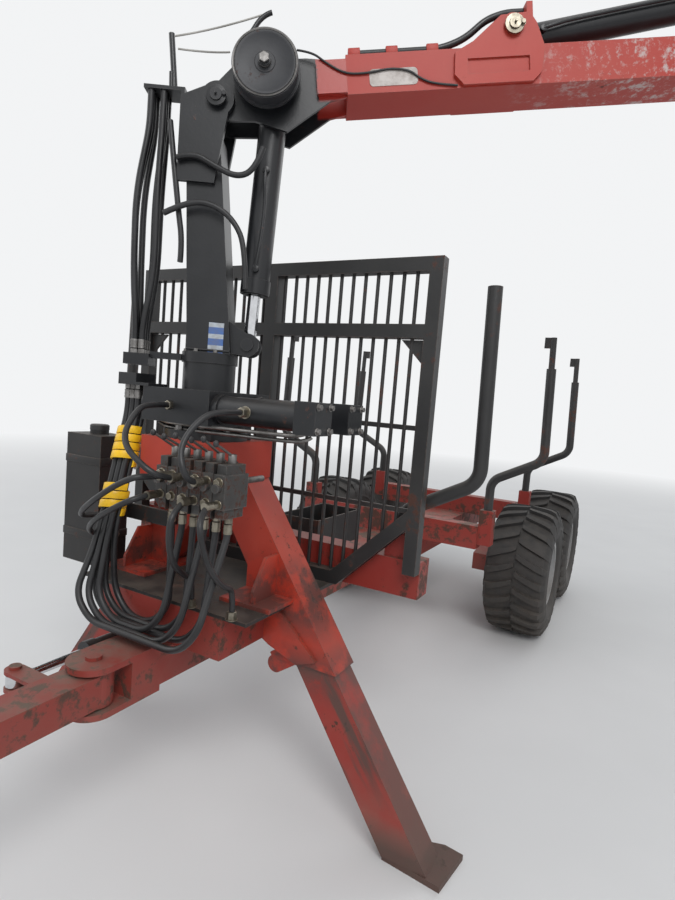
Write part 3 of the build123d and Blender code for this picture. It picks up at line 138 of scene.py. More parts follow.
# Camera
CAMERA_PLACE = (1.406, 0.011, 0.925)
CAMERA_PITCH = radians(4.998)
CAMERA_ROLL = radians(4.66)
CAMERA_HEADING = radians(28.397)
CAMERA_LENS = 30.5
SENSOR_WIDTH = 36


def set_camera():
    """The photograph's view, from in front of the trailer's left corner."""
    level = Vector((-sin(CAMERA_HEADING), cos(CAMERA_HEADING), 0))
    across = Vector((cos(CAMERA_HEADING), sin(CAMERA_HEADING), 0))
    ahead = level * cos(CAMERA_PITCH) - Vector((0, 0, sin(CAMERA_PITCH)))
    above = level * sin(CAMERA_PITCH) + Vector((0, 0, cos(CAMERA_PITCH)))
    right = across * cos(CAMERA_ROLL) + above * sin(CAMERA_ROLL)
    up = above * cos(CAMERA_ROLL) - across * sin(CAMERA_ROLL)
    bpy.ops.object.camera_add()
    camera = bpy.context.object
    camera.name = "camera"
    camera.matrix_world = at(*CAMERA_PLACE) @ Matrix((right, up, -ahead)).transposed().to_4x4()
    camera.data.sensor_fit = "HORIZONTAL"
    camera.data.sensor_width = SENSOR_WIDTH
    camera.data.lens = CAMERA_LENS
    camera.data.clip_start = 0.02
    bpy.context.scene.camera = camera


# Shader nodes
def node(tree, kind, inputs=None, **settings):
    """Adds a node, gives its settings, and links or sets its inputs."""
    made = tree.nodes.new(kind)
    for key, value in settings.items():
        setattr(made, key, value)
    for key, value in (inputs or {}).items():
        if isinstance(value, bpy.types.NodeSocket):
            tree.links.new(value, made.inputs[key])
        else:
            made.inputs[key].default_value = value
    return made


def maths(tree, operation, one, two=0.0, clamp=True):
    """A sum or other operation on values, kept between 0 and 1 unless clamp is off."""
    return node(tree, "ShaderNodeMath", {0: one, 1: two}, operation=operation, use_clamp=clamp).outputs[0]


def times(tree, one, two):
    """A product kept between 0 and 1."""
    return maths(tree, "MULTIPLY", one, two)


def scaled(tree, value, factor):
    """A product that isn't kept between 0 and 1."""
    return maths(tree, "MULTIPLY", value, factor, False)


def spread(tree, value, low, high):
    """Stretches the part of a value between low and high over 0 to 1."""
    inputs = {"Value": value, "From Min": low, "From Max": high}
    return node(tree, "ShaderNodeMapRange", inputs).outputs["Result"]


def layer(tree, mask, under, over):
    """One colour over another where the mask is 1."""
    return node(tree, "ShaderNodeMix", {0: mask, 6: under, 7: over}, data_type="RGBA").outputs[2]


def own_place(tree):
    """The shaded point's place in the frame."""
    return node(tree, "ShaderNodeTexCoord").outputs["Object"]


def split(tree, vector):
    """A vector's X, Y and Z."""
    return node(tree, "ShaderNodeSeparateXYZ", {0: vector}).outputs


def normal(tree):
    """The way that the shaded point faces."""
    return node(tree, "ShaderNodeNewGeometry").outputs["Normal"]


def ground_height(tree):
    """The shaded point's height over the ground."""
    return maths(tree, "SUBTRACT", split(tree, own_place(tree))["Z"], FLOOR_Z, False)


def noise(tree, scale, detail, rough, place=None):
    """Noise at the shaded point's place, or at another place."""
    inputs = {"Scale": scale, "Detail": detail, "Roughness": rough, "Vector": place or own_place(tree)}
    return node(tree, "ShaderNodeTexNoise", inputs).outputs["Fac"]


def patches(tree, low, high, scale, detail, rough, place=None):
    """Noise, its part between low and high stretched over 0 to 1."""
    return spread(tree, noise(tree, scale, detail, rough, place), low, high)


# Shader effects
def effect(name, inputs, outputs):
    """A node group with named number inputs and outputs."""
    tree = bpy.data.node_groups.new(name, "ShaderNodeTree")
    for label, value in inputs.items():
        socket = tree.interface.new_socket(label, in_out="INPUT", socket_type="NodeSocketFloat")
        socket.default_value = value
    for label in outputs:
        tree.interface.new_socket(label, in_out="OUTPUT", socket_type="NodeSocketFloat")
    return tree, tree.nodes.new("NodeGroupInput").outputs, tree.nodes.new("NodeGroupOutput").inputs


def worn_edges():
    """Where paint is rubbed off: along sharp edges, broken up by a grain."""
    tree, given, out = effect("worn edges", {"Radius": 0.006, "Grain": 60.0, "Amount": 1.0}, ["Mask"])
    rounded = node(tree, "ShaderNodeBevel", {"Radius": given["Radius"]}, samples=4).outputs[0]
    both = {0: rounded, 1: normal(tree)}
    same = node(tree, "ShaderNodeVectorMath", both, operation="DOT_PRODUCT").outputs["Value"]
    edge = spread(tree, same, 0.995, 0.86)
    broken = patches(tree, 0.38, 0.62, given["Grain"], 5, 0.7)
    tree.links.new(times(tree, times(tree, edge, broken), given["Amount"]), out["Mask"])
    return tree


def settled_dust():
    """Dust on what faces up, and dried mud that rises from the ground."""
    inputs = {"Grain": 9.0, "Top": 0.6, "Mud": 0.35, "Mud height": 0.5}
    tree, given, out = effect("settled dust", inputs, ["Mask"])
    up = spread(tree, split(tree, normal(tree))["Z"], 0.25, 1.0)
    above = maths(tree, "DIVIDE", ground_height(tree), given["Mud height"])
    low = maths(tree, "SUBTRACT", 1.0, above)
    cloud = patches(tree, 0.3, 0.7, given["Grain"], 6, 0.65)
    top = times(tree, times(tree, up, cloud), given["Top"])
    mud = times(tree, times(tree, low, maths(tree, "ADD", cloud, 0.35)), given["Mud"])
    tree.links.new(maths(tree, "ADD", top, mud), out["Mask"])
    return tree


def weathering():
    """Faded clouds and rusty patches."""
    tree, given, out = effect("weathering", {"Scale": 3.0, "Fade": 0.6, "Rust": 0.4}, ["Faded", "Rusty"])
    cloud = patches(tree, 0.35, 0.7, given["Scale"], 5, 0.6)
    tree.links.new(times(tree, cloud, given["Fade"]), out["Faded"])
    speck = noise(tree, scaled(tree, given["Scale"], 6.0), 8, 0.72)
    patch = noise(tree, given["Scale"], 3, 0.5)
    both = maths(tree, "ADD", times(tree, speck, 0.6), times(tree, patch, 0.4))
    limit = maths(tree, "SUBTRACT", 0.66, times(tree, given["Rust"], 0.22), False)
    over = maths(tree, "SUBTRACT", both, limit, False)
    tree.links.new(spread(tree, over, 0.0, 0.05), out["Rusty"])
    return tree


def scuffed_relief():
    """The small unevenness of brushed or sprayed paint."""
    tree, given, out = effect("scuffed relief", {"Scale": 90.0, "Coarse": 0.5}, ["Height"])
    fine = times(tree, noise(tree, given["Scale"], 3, 0.5), 0.5)
    wide = times(tree, noise(tree, 7.0, 4, 0.6), given["Coarse"])
    tree.links.new(maths(tree, "ADD", fine, wide), out["Height"])
    return tree


EFFECTS = {tree.name: tree for tree in (worn_edges(), settled_dust(), weathering(), scuffed_relief())}


def use(tree, name, inputs=None):
    """Places an effect in a material with its own values."""
    made = tree.nodes.new("ShaderNodeGroup")
    made.node_tree = EFFECTS[name]
    for key, value in (inputs or {}).items():
        made.inputs[key].default_value = value
    return made.outputs


# Materials. A colour is given by red, green and blue.
BACKDROP = (0.94, 0.95, 0.96, 1)
BACKDROP_STRENGTH = 0.95
DUST = (0.205, 0.168, 0.132, 1)
RUST = (0.070, 0.027, 0.017, 1)
BARE_FLAKES = (0.55, 0.51, 0.49, 1)
BASE_RED = (0.38, 0.030, 0.019, 1)
SOOT = (0.055, 0.035, 0.030, 1)
BROWNED = (0.075, 0.052, 0.042, 1)
RUBBED = (0.17, 0.075, 0.05)
BARS_PER_METRE = 26.0

# Where looks begin and end: along the boom and over its axis, and as heights over the ground
WORN_FROM = (0.95, 1.35)
WORN_TO = (2.3, 1.8)
BOX_FROM = (0.348, 0.356)
BOX_BOTTOM = (-0.022, -0.012)
BAND_FROM = (0.64, 0.74)
BAND_TO = (0.93, 0.86)
SLEEVE_FOOT = (0.66, 0.57)
LEG_BROWN = (0.44, 0.56)
LEG_STREAKS = (0.16, 0.30)
LEG_FOOT = (0.15, 0.05)


def new_material(name):
    """A material with its node tree and its shader's inputs."""
    material = bpy.data.materials.new(name)
    material.use_nodes = True
    tree = material.node_tree
    return material, tree, tree.nodes["Principled BSDF"].inputs


def link_look(tree, shader, shade, value, rough):
    """Links a colour, and a roughness that follows a value from the first of two numbers to the second."""
    tree.links.new(shade, shader["Base Color"])
    inputs = {"Value": value, "To Min": rough[0], "To Max": rough[1]}
    tree.links.new(node(tree, "ShaderNodeMapRange", inputs).outputs["Result"], shader["Roughness"])


def raise_surface(tree, shader, height, strength, distance=0.002):
    """Lets light fall as if the surface had a small relief."""
    bump = node(tree, "ShaderNodeBump", {"Height": height, "Strength": strength, "Distance": distance})
    tree.links.new(bump.outputs[0], shader["Normal"])


def overlay(material, mask, amount, colour):
    """Lays one more colour on a material, as strongly as a mask and an amount say."""
    tree = material.node_tree
    base = tree.nodes["Principled BSDF"].inputs["Base Color"]
    shade = layer(tree, times(tree, mask, amount), base.links[0].from_socket, colour)
    tree.links.new(shade, base)
    return material


def paint(name, colour, faded, bare, fade=0.7, rust=0.4, wear=0.8, dust=0.5, mud=0.0, mud_height=0.6,
          scale=3.0, rough=(0.5, 0.85)):
    """Old paint: faded clouds, rust, rubbed edges and dust."""
    material, tree, shader = new_material(name)
    worn = use(tree, "worn edges", {"Amount": wear})["Mask"]
    dusty = use(tree, "settled dust", {"Top": dust, "Mud": mud, "Mud height": mud_height})["Mask"]
    weather = use(tree, "weathering", {"Scale": scale, "Fade": fade, "Rust": rust})
    relief = use(tree, "scuffed relief")["Height"]
    shade = layer(tree, weather["Faded"], (*colour, 1), (*faded, 1))
    shade = layer(tree, weather["Rusty"], shade, RUST)
    shade = layer(tree, worn, shade, (*bare, 1))
    shade = layer(tree, dusty, shade, DUST)
    matt = maths(tree, "ADD", times(tree, weather["Rusty"], 0.6), times(tree, dusty, 0.8))
    link_look(tree, shader, shade, matt, rough)
    height = maths(tree, "ADD", times(tree, relief, 0.5), times(tree, weather["Rusty"], 0.3))
    raise_surface(tree, shader, height, 0.5)
    return material


def metal(name, colour, dark, rough, grime):
    """Bare or plated steel with stains."""
    material, tree, shader = new_material(name)
    stain = patches(tree, 0.4, 0.75, 14.0, 6, 0.7)
    dusty = use(tree, "settled dust", {"Top": grime, "Mud": grime, "Mud height": 0.5})["Mask"]
    shade = layer(tree, stain, (*colour, 1), (*dark, 1))
    link_look(tree, shader, layer(tree, dusty, shade, DUST), stain, rough)
    shader["Metallic"].default_value = 1.0
    raise_surface(tree, shader, use(tree, "scuffed relief", {"Scale": 160.0})["Height"], 0.2)
    return material


def rubber(name, colour, dust, mud, grain, mud_height=0.4, rough=(0.55, 0.9)):
    """Aged rubber with dust in its grain."""
    material, tree, shader = new_material(name)
    cloud = patches(tree, 0.35, 0.7, 5.0, 6, 0.65)
    grey = tuple(value * 1.9 + 0.012 for value in colour)
    inputs = {"Top": dust, "Mud": mud, "Mud height": mud_height, "Grain": 16.0}
    dusty = use(tree, "settled dust", inputs)["Mask"]
    shade = layer(tree, cloud, (*colour, 1), (*grey, 1))
    link_look(tree, shader, layer(tree, dusty, shade, DUST), cloud, rough)
    relief = use(tree, "scuffed relief", {"Scale": grain, "Coarse": 0.2})["Height"]
    raise_surface(tree, shader, relief, 0.35, 0.001)
    return material


def boom_place(tree):
    """The shaded point's place in the boom's frame, with X along the boom."""
    inputs = {"Vector": own_place(tree), "Location": BOOM.to_translation(), "Rotation": BOOM.to_euler()}
    return node(tree, "ShaderNodeMapping", inputs, vector_type="TEXTURE").outputs[0]


def boom_paint():
    """The main boom's red, with a worn whitish stretch towards the elbow."""
    material = paint("boom red", (0.40, 0.028, 0.017), (0.44, 0.075, 0.05), (0.24, 0.075, 0.055),
                     fade=0.4, rust=0.15, wear=0.6, dust=0.2)
    tree = material.node_tree
    place = boom_place(tree)
    along = split(tree, place)["X"]
    stretch = times(tree, spread(tree, along, *WORN_FROM), spread(tree, along, *WORN_TO))
    flakes = patches(tree, 0.53, 0.6, 11.0, 9, 0.72, place)
    fine = patches(tree, 0.55, 0.6, 45.0, 8, 0.75, place)
    worn = maths(tree, "ADD", flakes, times(tree, fine, 0.4))
    return overlay(material, times(tree, stretch, worn), 0.75, BARE_FLAKES)


def slate_paint(name):
    """The crane's dark grey."""
    return paint(name, (0.0085, 0.0092, 0.011), (0.021, 0.022, 0.0245), (0.06, 0.057, 0.055),
                 rust=0.22, wear=0.7, dust=0.22, scale=5.0, rough=(0.36, 0.8))


def base_paint():
    """The boom's base: slate, with the boom's red from where the box begins."""
    material = slate_paint("base slate")
    tree = material.node_tree
    place = boom_place(tree)
    along = split(tree, place)
    ragged = times(tree, noise(tree, 25.0, 6, 0.7, place), 0.04)
    reach = maths(tree, "ADD", along["X"], ragged, False)
    red = times(tree, spread(tree, reach, *BOX_FROM), spread(tree, along["Z"], *BOX_BOTTOM))
    return overlay(material, red, 1.0, BASE_RED)


def stand_paint():
    """The stand's brighter red, with a dark mottled band where the sleeves bend and soot at their ends."""
    material = paint("stand red", (0.46, 0.036, 0.016), (0.44, 0.078, 0.048), RUBBED,
                     fade=0.4, wear=0.9, dust=0.35, mud=0.15, mud_height=0.5, scale=4.0)
    tree = material.node_tree
    height = ground_height(tree)
    band = times(tree, spread(tree, height, *BAND_FROM), spread(tree, height, *BAND_TO))
    sooty = maths(tree, "MAXIMUM", band, spread(tree, height, *SLEEVE_FOOT))
    mottled = patches(tree, 0.40, 0.54, 8.0, 8, 0.68)
    return overlay(material, times(tree, sooty, mottled), 0.8, SOOT)


def leg_paint():
    """The sliding leg's red: browned on top, at the foot and under the sleeve, and streaked lengthwise."""
    material = paint("leg red", (0.32, 0.024, 0.016), (0.30, 0.06, 0.042), (0.15, 0.065, 0.045),
                     fade=0.55, rust=0.35, wear=0.9, dust=0.2, mud=0.6, mud_height=0.3, scale=5.0)
    tree = material.node_tree
    place = split(tree, own_place(tree))
    height = ground_height(tree)
    outwards = maths(tree, "ABSOLUTE", place["X"], clamp=False)
    across = maths(tree, "ADD", scaled(tree, outwards, 7.4), scaled(tree, place["Z"], 5.2), False)
    drawn_out = {"X": across, "Y": scaled(tree, place["Y"], 9.0), "Z": scaled(tree, place["Z"], -1.2)}
    lengthwise = node(tree, "ShaderNodeCombineXYZ", drawn_out).outputs[0]
    streaks = patches(tree, 0.47, 0.6, 2.2, 5, 0.6, lengthwise)
    streaks = times(tree, streaks, spread(tree, height, *LEG_STREAKS))
    up = spread(tree, split(tree, normal(tree))["Z"], 0.2, 0.5)
    top = times(tree, times(tree, up, patches(tree, 0.30, 0.50, 6.0, 6, 0.65)), 0.85)
    sleeve = times(tree, spread(tree, height, *LEG_BROWN), patches(tree, 0.36, 0.5, 12.0, 7, 0.7))
    dark = spread(tree, height, *LEG_FOOT)
    for mask in (streaks, top, sleeve):
        dark = maths(tree, "MAXIMUM", dark, mask)
    return overlay(material, dark, 0.85, BROWNED)


def label_face(name, ground, stripes):
    """A blank weathered plate: a plain ground with plain bars and no lettering."""
    material, tree, shader = new_material(name)
    dusty = patches(tree, 0.42, 0.72, 26.0, 8, 0.7)
    height = split(tree, own_place(tree))["Z"]
    bars = maths(tree, "FRACT", scaled(tree, height, BARS_PER_METRE), clamp=False)
    shade = layer(tree, spread(tree, bars, 0.58, 0.62), (*ground, 1), (*stripes, 1))
    shade = layer(tree, times(tree, dusty, 0.6), shade, DUST)
    tree.links.new(shade, shader["Base Color"])
    tree.links.new(spread(tree, dusty, -1.0, 1.4), shader["Roughness"])
    return material


MATERIALS = {
    "red": paint("frame red", (0.27, 0.022, 0.015), (0.30, 0.052, 0.036), RUBBED,
                 fade=0.55, rust=0.62, dust=0.6, mud=0.55, mud_height=0.8),
    "stand": stand_paint(),
    "boom": boom_paint(),
    "base": base_paint(),
    "winch": paint("winch grey", (0.020, 0.021, 0.025), (0.040, 0.041, 0.046), (0.08, 0.075, 0.07),
                   rust=0.3, wear=0.7, dust=0.1, scale=9.0),
    "bracket": paint("bracket red", (0.42, 0.030, 0.018), (0.46, 0.078, 0.052), (0.22, 0.08, 0.055),
                     fade=0.4, rust=0.15, wear=0.6, dust=0.22),
    "leg": leg_paint(),
    "slate": slate_paint("crane slate"),
    "black": paint("frame black", (0.011, 0.0105, 0.011), (0.032, 0.029, 0.027), (0.12, 0.08, 0.06),
                   rust=0.5, mud=0.3),
    "grille": paint("headboard black", (0.014, 0.014, 0.0145), (0.036, 0.035, 0.034), (0.11, 0.075, 0.06),
                    fade=0.8, rust=0.45, wear=0.9, dust=0.4, mud=0.2),
    "rim": paint("rim silver", (0.42, 0.43, 0.44), (0.27, 0.27, 0.265), (0.19, 0.16, 0.14),
                 rust=0.35, wear=0.6, dust=0.35, mud=0.45, mud_height=1.0, scale=6.0, rough=(0.35, 0.8)),
    "valve": paint("valve grey", (0.040, 0.039, 0.038), (0.085, 0.08, 0.075), (0.2, 0.19, 0.18),
                   rust=0.7, wear=0.7, dust=0.45, scale=12.0),
    "knob": paint("lever knob", (0.02, 0.02, 0.022), (0.05, 0.05, 0.05), (0.08, 0.08, 0.08),
                  fade=0.6, rust=0.0, wear=0.3, dust=0.3, scale=20.0),
    "tyre": rubber("tyre rubber", (0.010, 0.010, 0.0105), dust=0.16, mud=0.24, grain=190.0, mud_height=1.0),
    "hose": rubber("hose rubber", (0.009, 0.009, 0.010), dust=0.10, mud=0.04, grain=320.0, rough=(0.3, 0.6)),
    "wrap": rubber("yellow wrap", (0.78, 0.46, 0.010), dust=0.10, mud=0.10, grain=90.0, rough=(0.32, 0.6)),
    "twine": rubber("pale cord", (0.30, 0.29, 0.27), dust=0.2, mud=0.0, grain=300.0),
    "chrome": metal("chromed rod", (0.72, 0.73, 0.75), (0.50, 0.50, 0.51), (0.08, 0.2), 0.05),
    "steel": metal("plain steel", (0.30, 0.29, 0.28), (0.10, 0.095, 0.09), (0.4, 0.65), 0.4),
    "fitting": metal("plated fitting", (0.34, 0.31, 0.25), (0.13, 0.115, 0.09), (0.35, 0.55), 0.35),
    "plate": label_face("blank plate", (0.52, 0.47, 0.44), (0.55, 0.50, 0.47)),
    "sticker": label_face("blank sticker", (0.07, 0.16, 0.42), (0.50, 0.55, 0.60)),
}

# The nodes of each finish. Tyres and rims have their own, and all other nodes are red.
NODE_FINISH = {
    "stand": ("crane_stand",),
    "boom": ("boom",),
    "bracket": ("ram_bracket", "jib", "extension", "grapple_frame", "jaw_outer", "jaw_inner"),
    "leg": ("leg_left", "leg_right"),
    "base": ("boom_base",),
    "winch": ("winch",),
    "slate": ("column", "lift_barrel", "jib_barrel", "slew_base", "slew_cylinders", "link", "rotator",
              "grapple_barrel", "hose_post", "steer_barrel"),
    "black": ("deck", "oil_tank", "tool_tray"),
    "grille": ("headboard", "stakes_left", "stakes_right", "stake_tips"),
    "chrome": ("lift_rod", "jib_rod", "grapple_rod", "steer_rod"),
    "valve": ("valve_bank",),
    "hose": ("stand_hoses", "column_hoses", "boom_hose"),
    "wrap": ("hose_wraps",),
}


def dress_nodes():
    """Gives every CAD node the material of its real finish."""
    finish_of = {name: finish for finish, names in NODE_FINISH.items() for name in names}
    for name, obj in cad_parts.items():
        finish = finish_of.get(name, "red")
        if name.startswith("tyre_"):
            finish = "tyre"
        if name.startswith("rim_"):
            finish = "rim"
        obj.data.materials.clear()
        obj.data.materials.append(MATERIALS[finish])


# Modelling
SHARP_ANGLE = 35
BOLT_SEAT = 0.002
WASHER = 0.0025


def deselect():
    """Goes back to object mode with nothing selected."""
    if bpy.context.object and bpy.context.object.mode != "OBJECT":
        bpy.ops.object.mode_set(mode="OBJECT")
    bpy.ops.object.select_all(action="DESELECT")


def pick(obj):
    """Selects one piece and makes it the active one."""
    deselect()
    obj.select_set(True)
    bpy.context.view_layer.objects.active = obj


def open_faces(obj):
    """Opens a piece's mesh for work on its faces, with nothing selected."""
    pick(obj)
    bpy.ops.object.mode_set(mode="EDIT")
    bpy.ops.mesh.select_mode(type="FACE")
    bpy.ops.mesh.select_all(action="DESELECT")


def open_all(obj):
    """Opens a piece's mesh with all of it selected."""
    pick(obj)
    bpy.ops.object.mode_set(mode="EDIT")
    bpy.ops.mesh.select_all(action="SELECT")


def close_edit():
    """Goes back to object mode."""
    bpy.ops.object.mode_set(mode="OBJECT")


def turn_outwards(obj):
    """Turns all the faces of a piece outwards."""
    open_all(obj)
    bpy.ops.mesh.normals_make_consistent(inside=False)
    close_edit()


def round_edges(obj, width, segments):
    """Bevels the sharp edges of a piece."""
    pick(obj)
    bevel = obj.modifiers.new("rounded", "BEVEL")
    bevel.width = width
    bevel.segments = segments
    bevel.limit_method = "ANGLE"
    bevel.angle_limit = radians(SHARP_ANGLE)
    bpy.ops.object.modifier_apply(modifier=bevel.name)


def smooth(obj, angle=SHARP_ANGLE):
    """Shades a piece smoothly except at its sharp edges."""
    pick(obj)
    bpy.ops.object.shade_smooth_by_angle(angle=radians(angle))


def bake_place(obj):
    """Writes a piece's place, turn and scale into its mesh."""
    pick(obj)
    bpy.ops.object.transform_apply(location=True, rotation=True, scale=True)
    return obj


def settle(obj, place, name, body, finish):
    """Puts a piece in its place in the frame, names it, and lets it ride a body, if one is given."""
    pick(obj)
    obj.matrix_world = place @ obj.matrix_world
    bake_place(obj)
    obj.name = name
    obj.data.name = name
    obj.data.materials.clear()
    obj.data.materials.append(MATERIALS[finish])
    if body:
        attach(obj, body)
    return obj


def joined(objects):
    """Makes one piece of several."""
    pick(objects[0])
    for obj in objects:
        obj.select_set(True)
    if len(objects) > 1:
        bpy.ops.object.join()
    return bpy.context.object


def copies(model, places):
    """Copies a model to each place, each copy with its own mesh, and joins them."""
    made = []
    for place in places:
        twin = model.copy()
        twin.data = model.data.copy()
        twin.data.transform(place)
        bpy.context.scene.collection.objects.link(twin)
        made.append(twin)
    pick(model)
    bpy.ops.object.delete()
    return joined(made)


def block(x0, x1, y0, y1, z0, z1, edge=0.002, segments=2):
    """A plate or block between two values on each axis, its edges rounded."""
    deselect()
    bpy.ops.mesh.primitive_cube_add(size=1, location=((x0 + x1) / 2, (y0 + y1) / 2, (z0 + z1) / 2))
    obj = bpy.context.object
    obj.scale = (x1 - x0, y1 - y0, z1 - z0)
    bake_place(obj)
    if edge:
        round_edges(obj, edge, segments)
        smooth(obj)
    return obj


def bar(start, end, radius, sides=24, edge=0.0015, segments=2):
    """A round bar from one point to another, its ends rounded."""
    start, end = Vector(start), Vector(end)
    run = end - start
    middle = (start + end) / 2
    deselect()
    bpy.ops.mesh.primitive_cylinder_add(vertices=sides, radius=radius, depth=run.length, location=middle)
    obj = bpy.context.object
    obj.rotation_euler = run.to_track_quat("Z", "Y").to_euler()
    bake_place(obj)
    if edge:
        round_edges(obj, edge, segments)
    smooth(obj)
    return obj


def hex_bolt(across, height, washer=True):
    """A hexagon head on its washer, standing up from the origin."""
    middle = (0, 0, height / 2 + BOLT_SEAT)
    deselect()
    bpy.ops.mesh.primitive_cylinder_add(vertices=6, radius=across / 2, depth=height, location=middle)
    head = bake_place(bpy.context.object)
    open_faces(head)
    close_edit()
    for face in head.data.polygons:
        face.select = face.normal.z > 0.9
    bpy.ops.object.mode_set(mode="EDIT")
    bpy.ops.mesh.inset(thickness=across * 0.06, depth=across * 0.03)
    close_edit()
    parts = [head]
    if washer:
        parts.append(bar((0, 0, 0), (0, 0, WASHER), across * 0.64, 20, 0.0006, 1))
    return joined(parts)


def outline(corners, closed=False):
    """A mesh of edges from corner to corner."""
    count = len(corners)
    mesh = bpy.data.meshes.new("outline")
    mesh.from_pydata(corners, [(k, (k + 1) % count) for k in range(count if closed else count - 1)], [])
    obj = bpy.data.objects.new("outline", mesh)
    bpy.context.scene.collection.objects.link(obj)
    return obj


def turned(points, steps, axis="X", angle=SHARP_ANGLE):
    """A smooth closed shape turned about an axis from pairs of place along it and radius."""
    obj = outline([(x, 0, r) if axis == "X" else (r, 0, x) for x, r in points])
    open_all(obj)
    spin_axis = (1, 0, 0) if axis == "X" else (0, 0, 1)
    bpy.ops.mesh.spin(steps=steps, angle=2 * pi, center=(0, 0, 0), axis=spin_axis)
    bpy.ops.mesh.select_all(action="SELECT")
    bpy.ops.mesh.remove_doubles(threshold=0.00005)
    bpy.ops.mesh.normals_make_consistent(inside=False)
    close_edit()
    smooth(obj, angle)
    return obj


def tube(points, radius):
    """A cord, a bent pipe or a clipped hose along a smooth curve, as a mesh."""
    data = bpy.data.curves.new("tube", "CURVE")
    data.dimensions = "3D"
    data.bevel_depth = radius
    data.bevel_resolution = 3
    data.resolution_u = 6
    data.use_fill_caps = True
    spline = data.splines.new("NURBS")
    spline.points.add(len(points) - 1)
    for point, place in zip(spline.points, points):
        point.co = (*place, 1)
    spline.order_u = 3
    spline.use_endpoint_u = True
    obj = bpy.data.objects.new("tube", data)
    bpy.context.scene.collection.objects.link(obj)
    pick(obj)
    bpy.ops.object.convert(target="MESH")
    return bpy.context.object


# Wheels
def crown_radius(x):
    """The tyre's outer radius at a distance from its middle plane."""
    for (x0, r0), (x1, r1) in zip(CROWN, CROWN[1:]):
        if x <= x1:
            return r0 + (r1 - r0) * (x - x0) / (x1 - x0)
    return CROWN[-1][1]


def tread_lug():
    """One lug of the tread, cut from a block whose X runs across the tyre, Y round it and Z up its height."""
    obj = block(LUG_START, LUG_START + LUG_LENGTH, -LUG_HALF, LUG_HALF, 0, 1, 0)
    open_faces(obj)
    bpy.ops.mesh.select_all(action="SELECT")
    bpy.ops.mesh.subdivide(number_cuts=6)
    close_edit()
    for vertex in obj.data.vertices:
        x, y, z = vertex.co
        share = max(x - LUG_START, 0) / LUG_LENGTH
        width = 1.0 + LUG_WIDENING * share - LUG_TAPER * z
        foot = LUG_ROOT - max(x - SHOULDER_X, 0) * SHOULDER_SLOPE
        radius = foot + (crown_radius(x) - foot) * z
        around = (y * width + LUG_SWEEP * share ** LUG_CURVE) / TYRE_R
        vertex.co = (x - LUG_LEAN * z * share, -radius * sin(around), radius * cos(around))
    return obj


def make_tyre(name, place, body, start_turn):
    """A tyre with a round carcass, ribbed walls and two rows of slanted lugs."""
    wall = [(-0.16, 0.205), (-0.167, 0.222), (-0.180, 0.240), (-0.184, 0.246), (-0.190, 0.270),
            (-0.1955, 0.300), (-0.1985, 0.303), (-0.1985, 0.310), (-0.1965, 0.314), (-0.196, 0.345),
            (-0.190, 0.375), (-0.172, 0.398), (-0.14, 0.409), (-0.08, CARCASS_R), (0, CARCASS_R + 0.001)]
    ring = turned(wall + [(-x, r) for x, r in reversed(wall[:-1])] + [wall[0]], 72)
    places = []
    for k in range(LUG_COUNT):
        step = 2 * pi * k / LUG_COUNT
        places.append(about("X", step))
        places.append(about("X", step + pi / LUG_COUNT) @ MIRROR_X)
    lugs = copies(tread_lug(), places)
    turn_outwards(lugs)
    whole = joined([ring, lugs])
    smooth(whole, 30)
    whole = settle(whole, place @ about("X", start_turn), name, body, "tyre")
    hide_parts(name.replace("shown_", ""))


def make_wheel(end, end_sign, side, sign):
    """A tyre, with the wheel's nuts, hub cap and valve stem."""
    body = f"wheel_{end}_{side}"
    place = GROUND @ at(sign * WHEEL_X, end_sign * WHEEL_Y, TYRE_R)
    make_tyre(f"shown_tyre_{end}_{side}", place, body, 0.13 * end_sign + 0.05 * sign)
    outside = place @ about("Z", 0 if sign > 0 else pi)
    studs = [2 * pi * k / STUDS for k in range(STUDS)]
    places = [at(STUD_FACE, STUD_R * cos(angle), STUD_R * sin(angle)) @ LAY_ALONG_X for angle in studs]
    settle(copies(hex_bolt(0.027, 0.018), places), outside, f"wheel_nuts_{end}_{side}", body, "steel")
    cap = turned([(0.088, 0.0), (0.112, 0.0), (0.116, 0.02), (0.113, 0.046), (0.106, 0.053), (0.088, 0.054)],
                 32)
    settle(cap, outside, f"hub_cap_{end}_{side}", body, "rim")
    stem = bar((0.036, 0.0, 0.165), (0.075, 0.0, 0.172), 0.004, 10, 0)
    settle(stem, outside, f"valve_stem_{end}_{side}", body, "fitting")


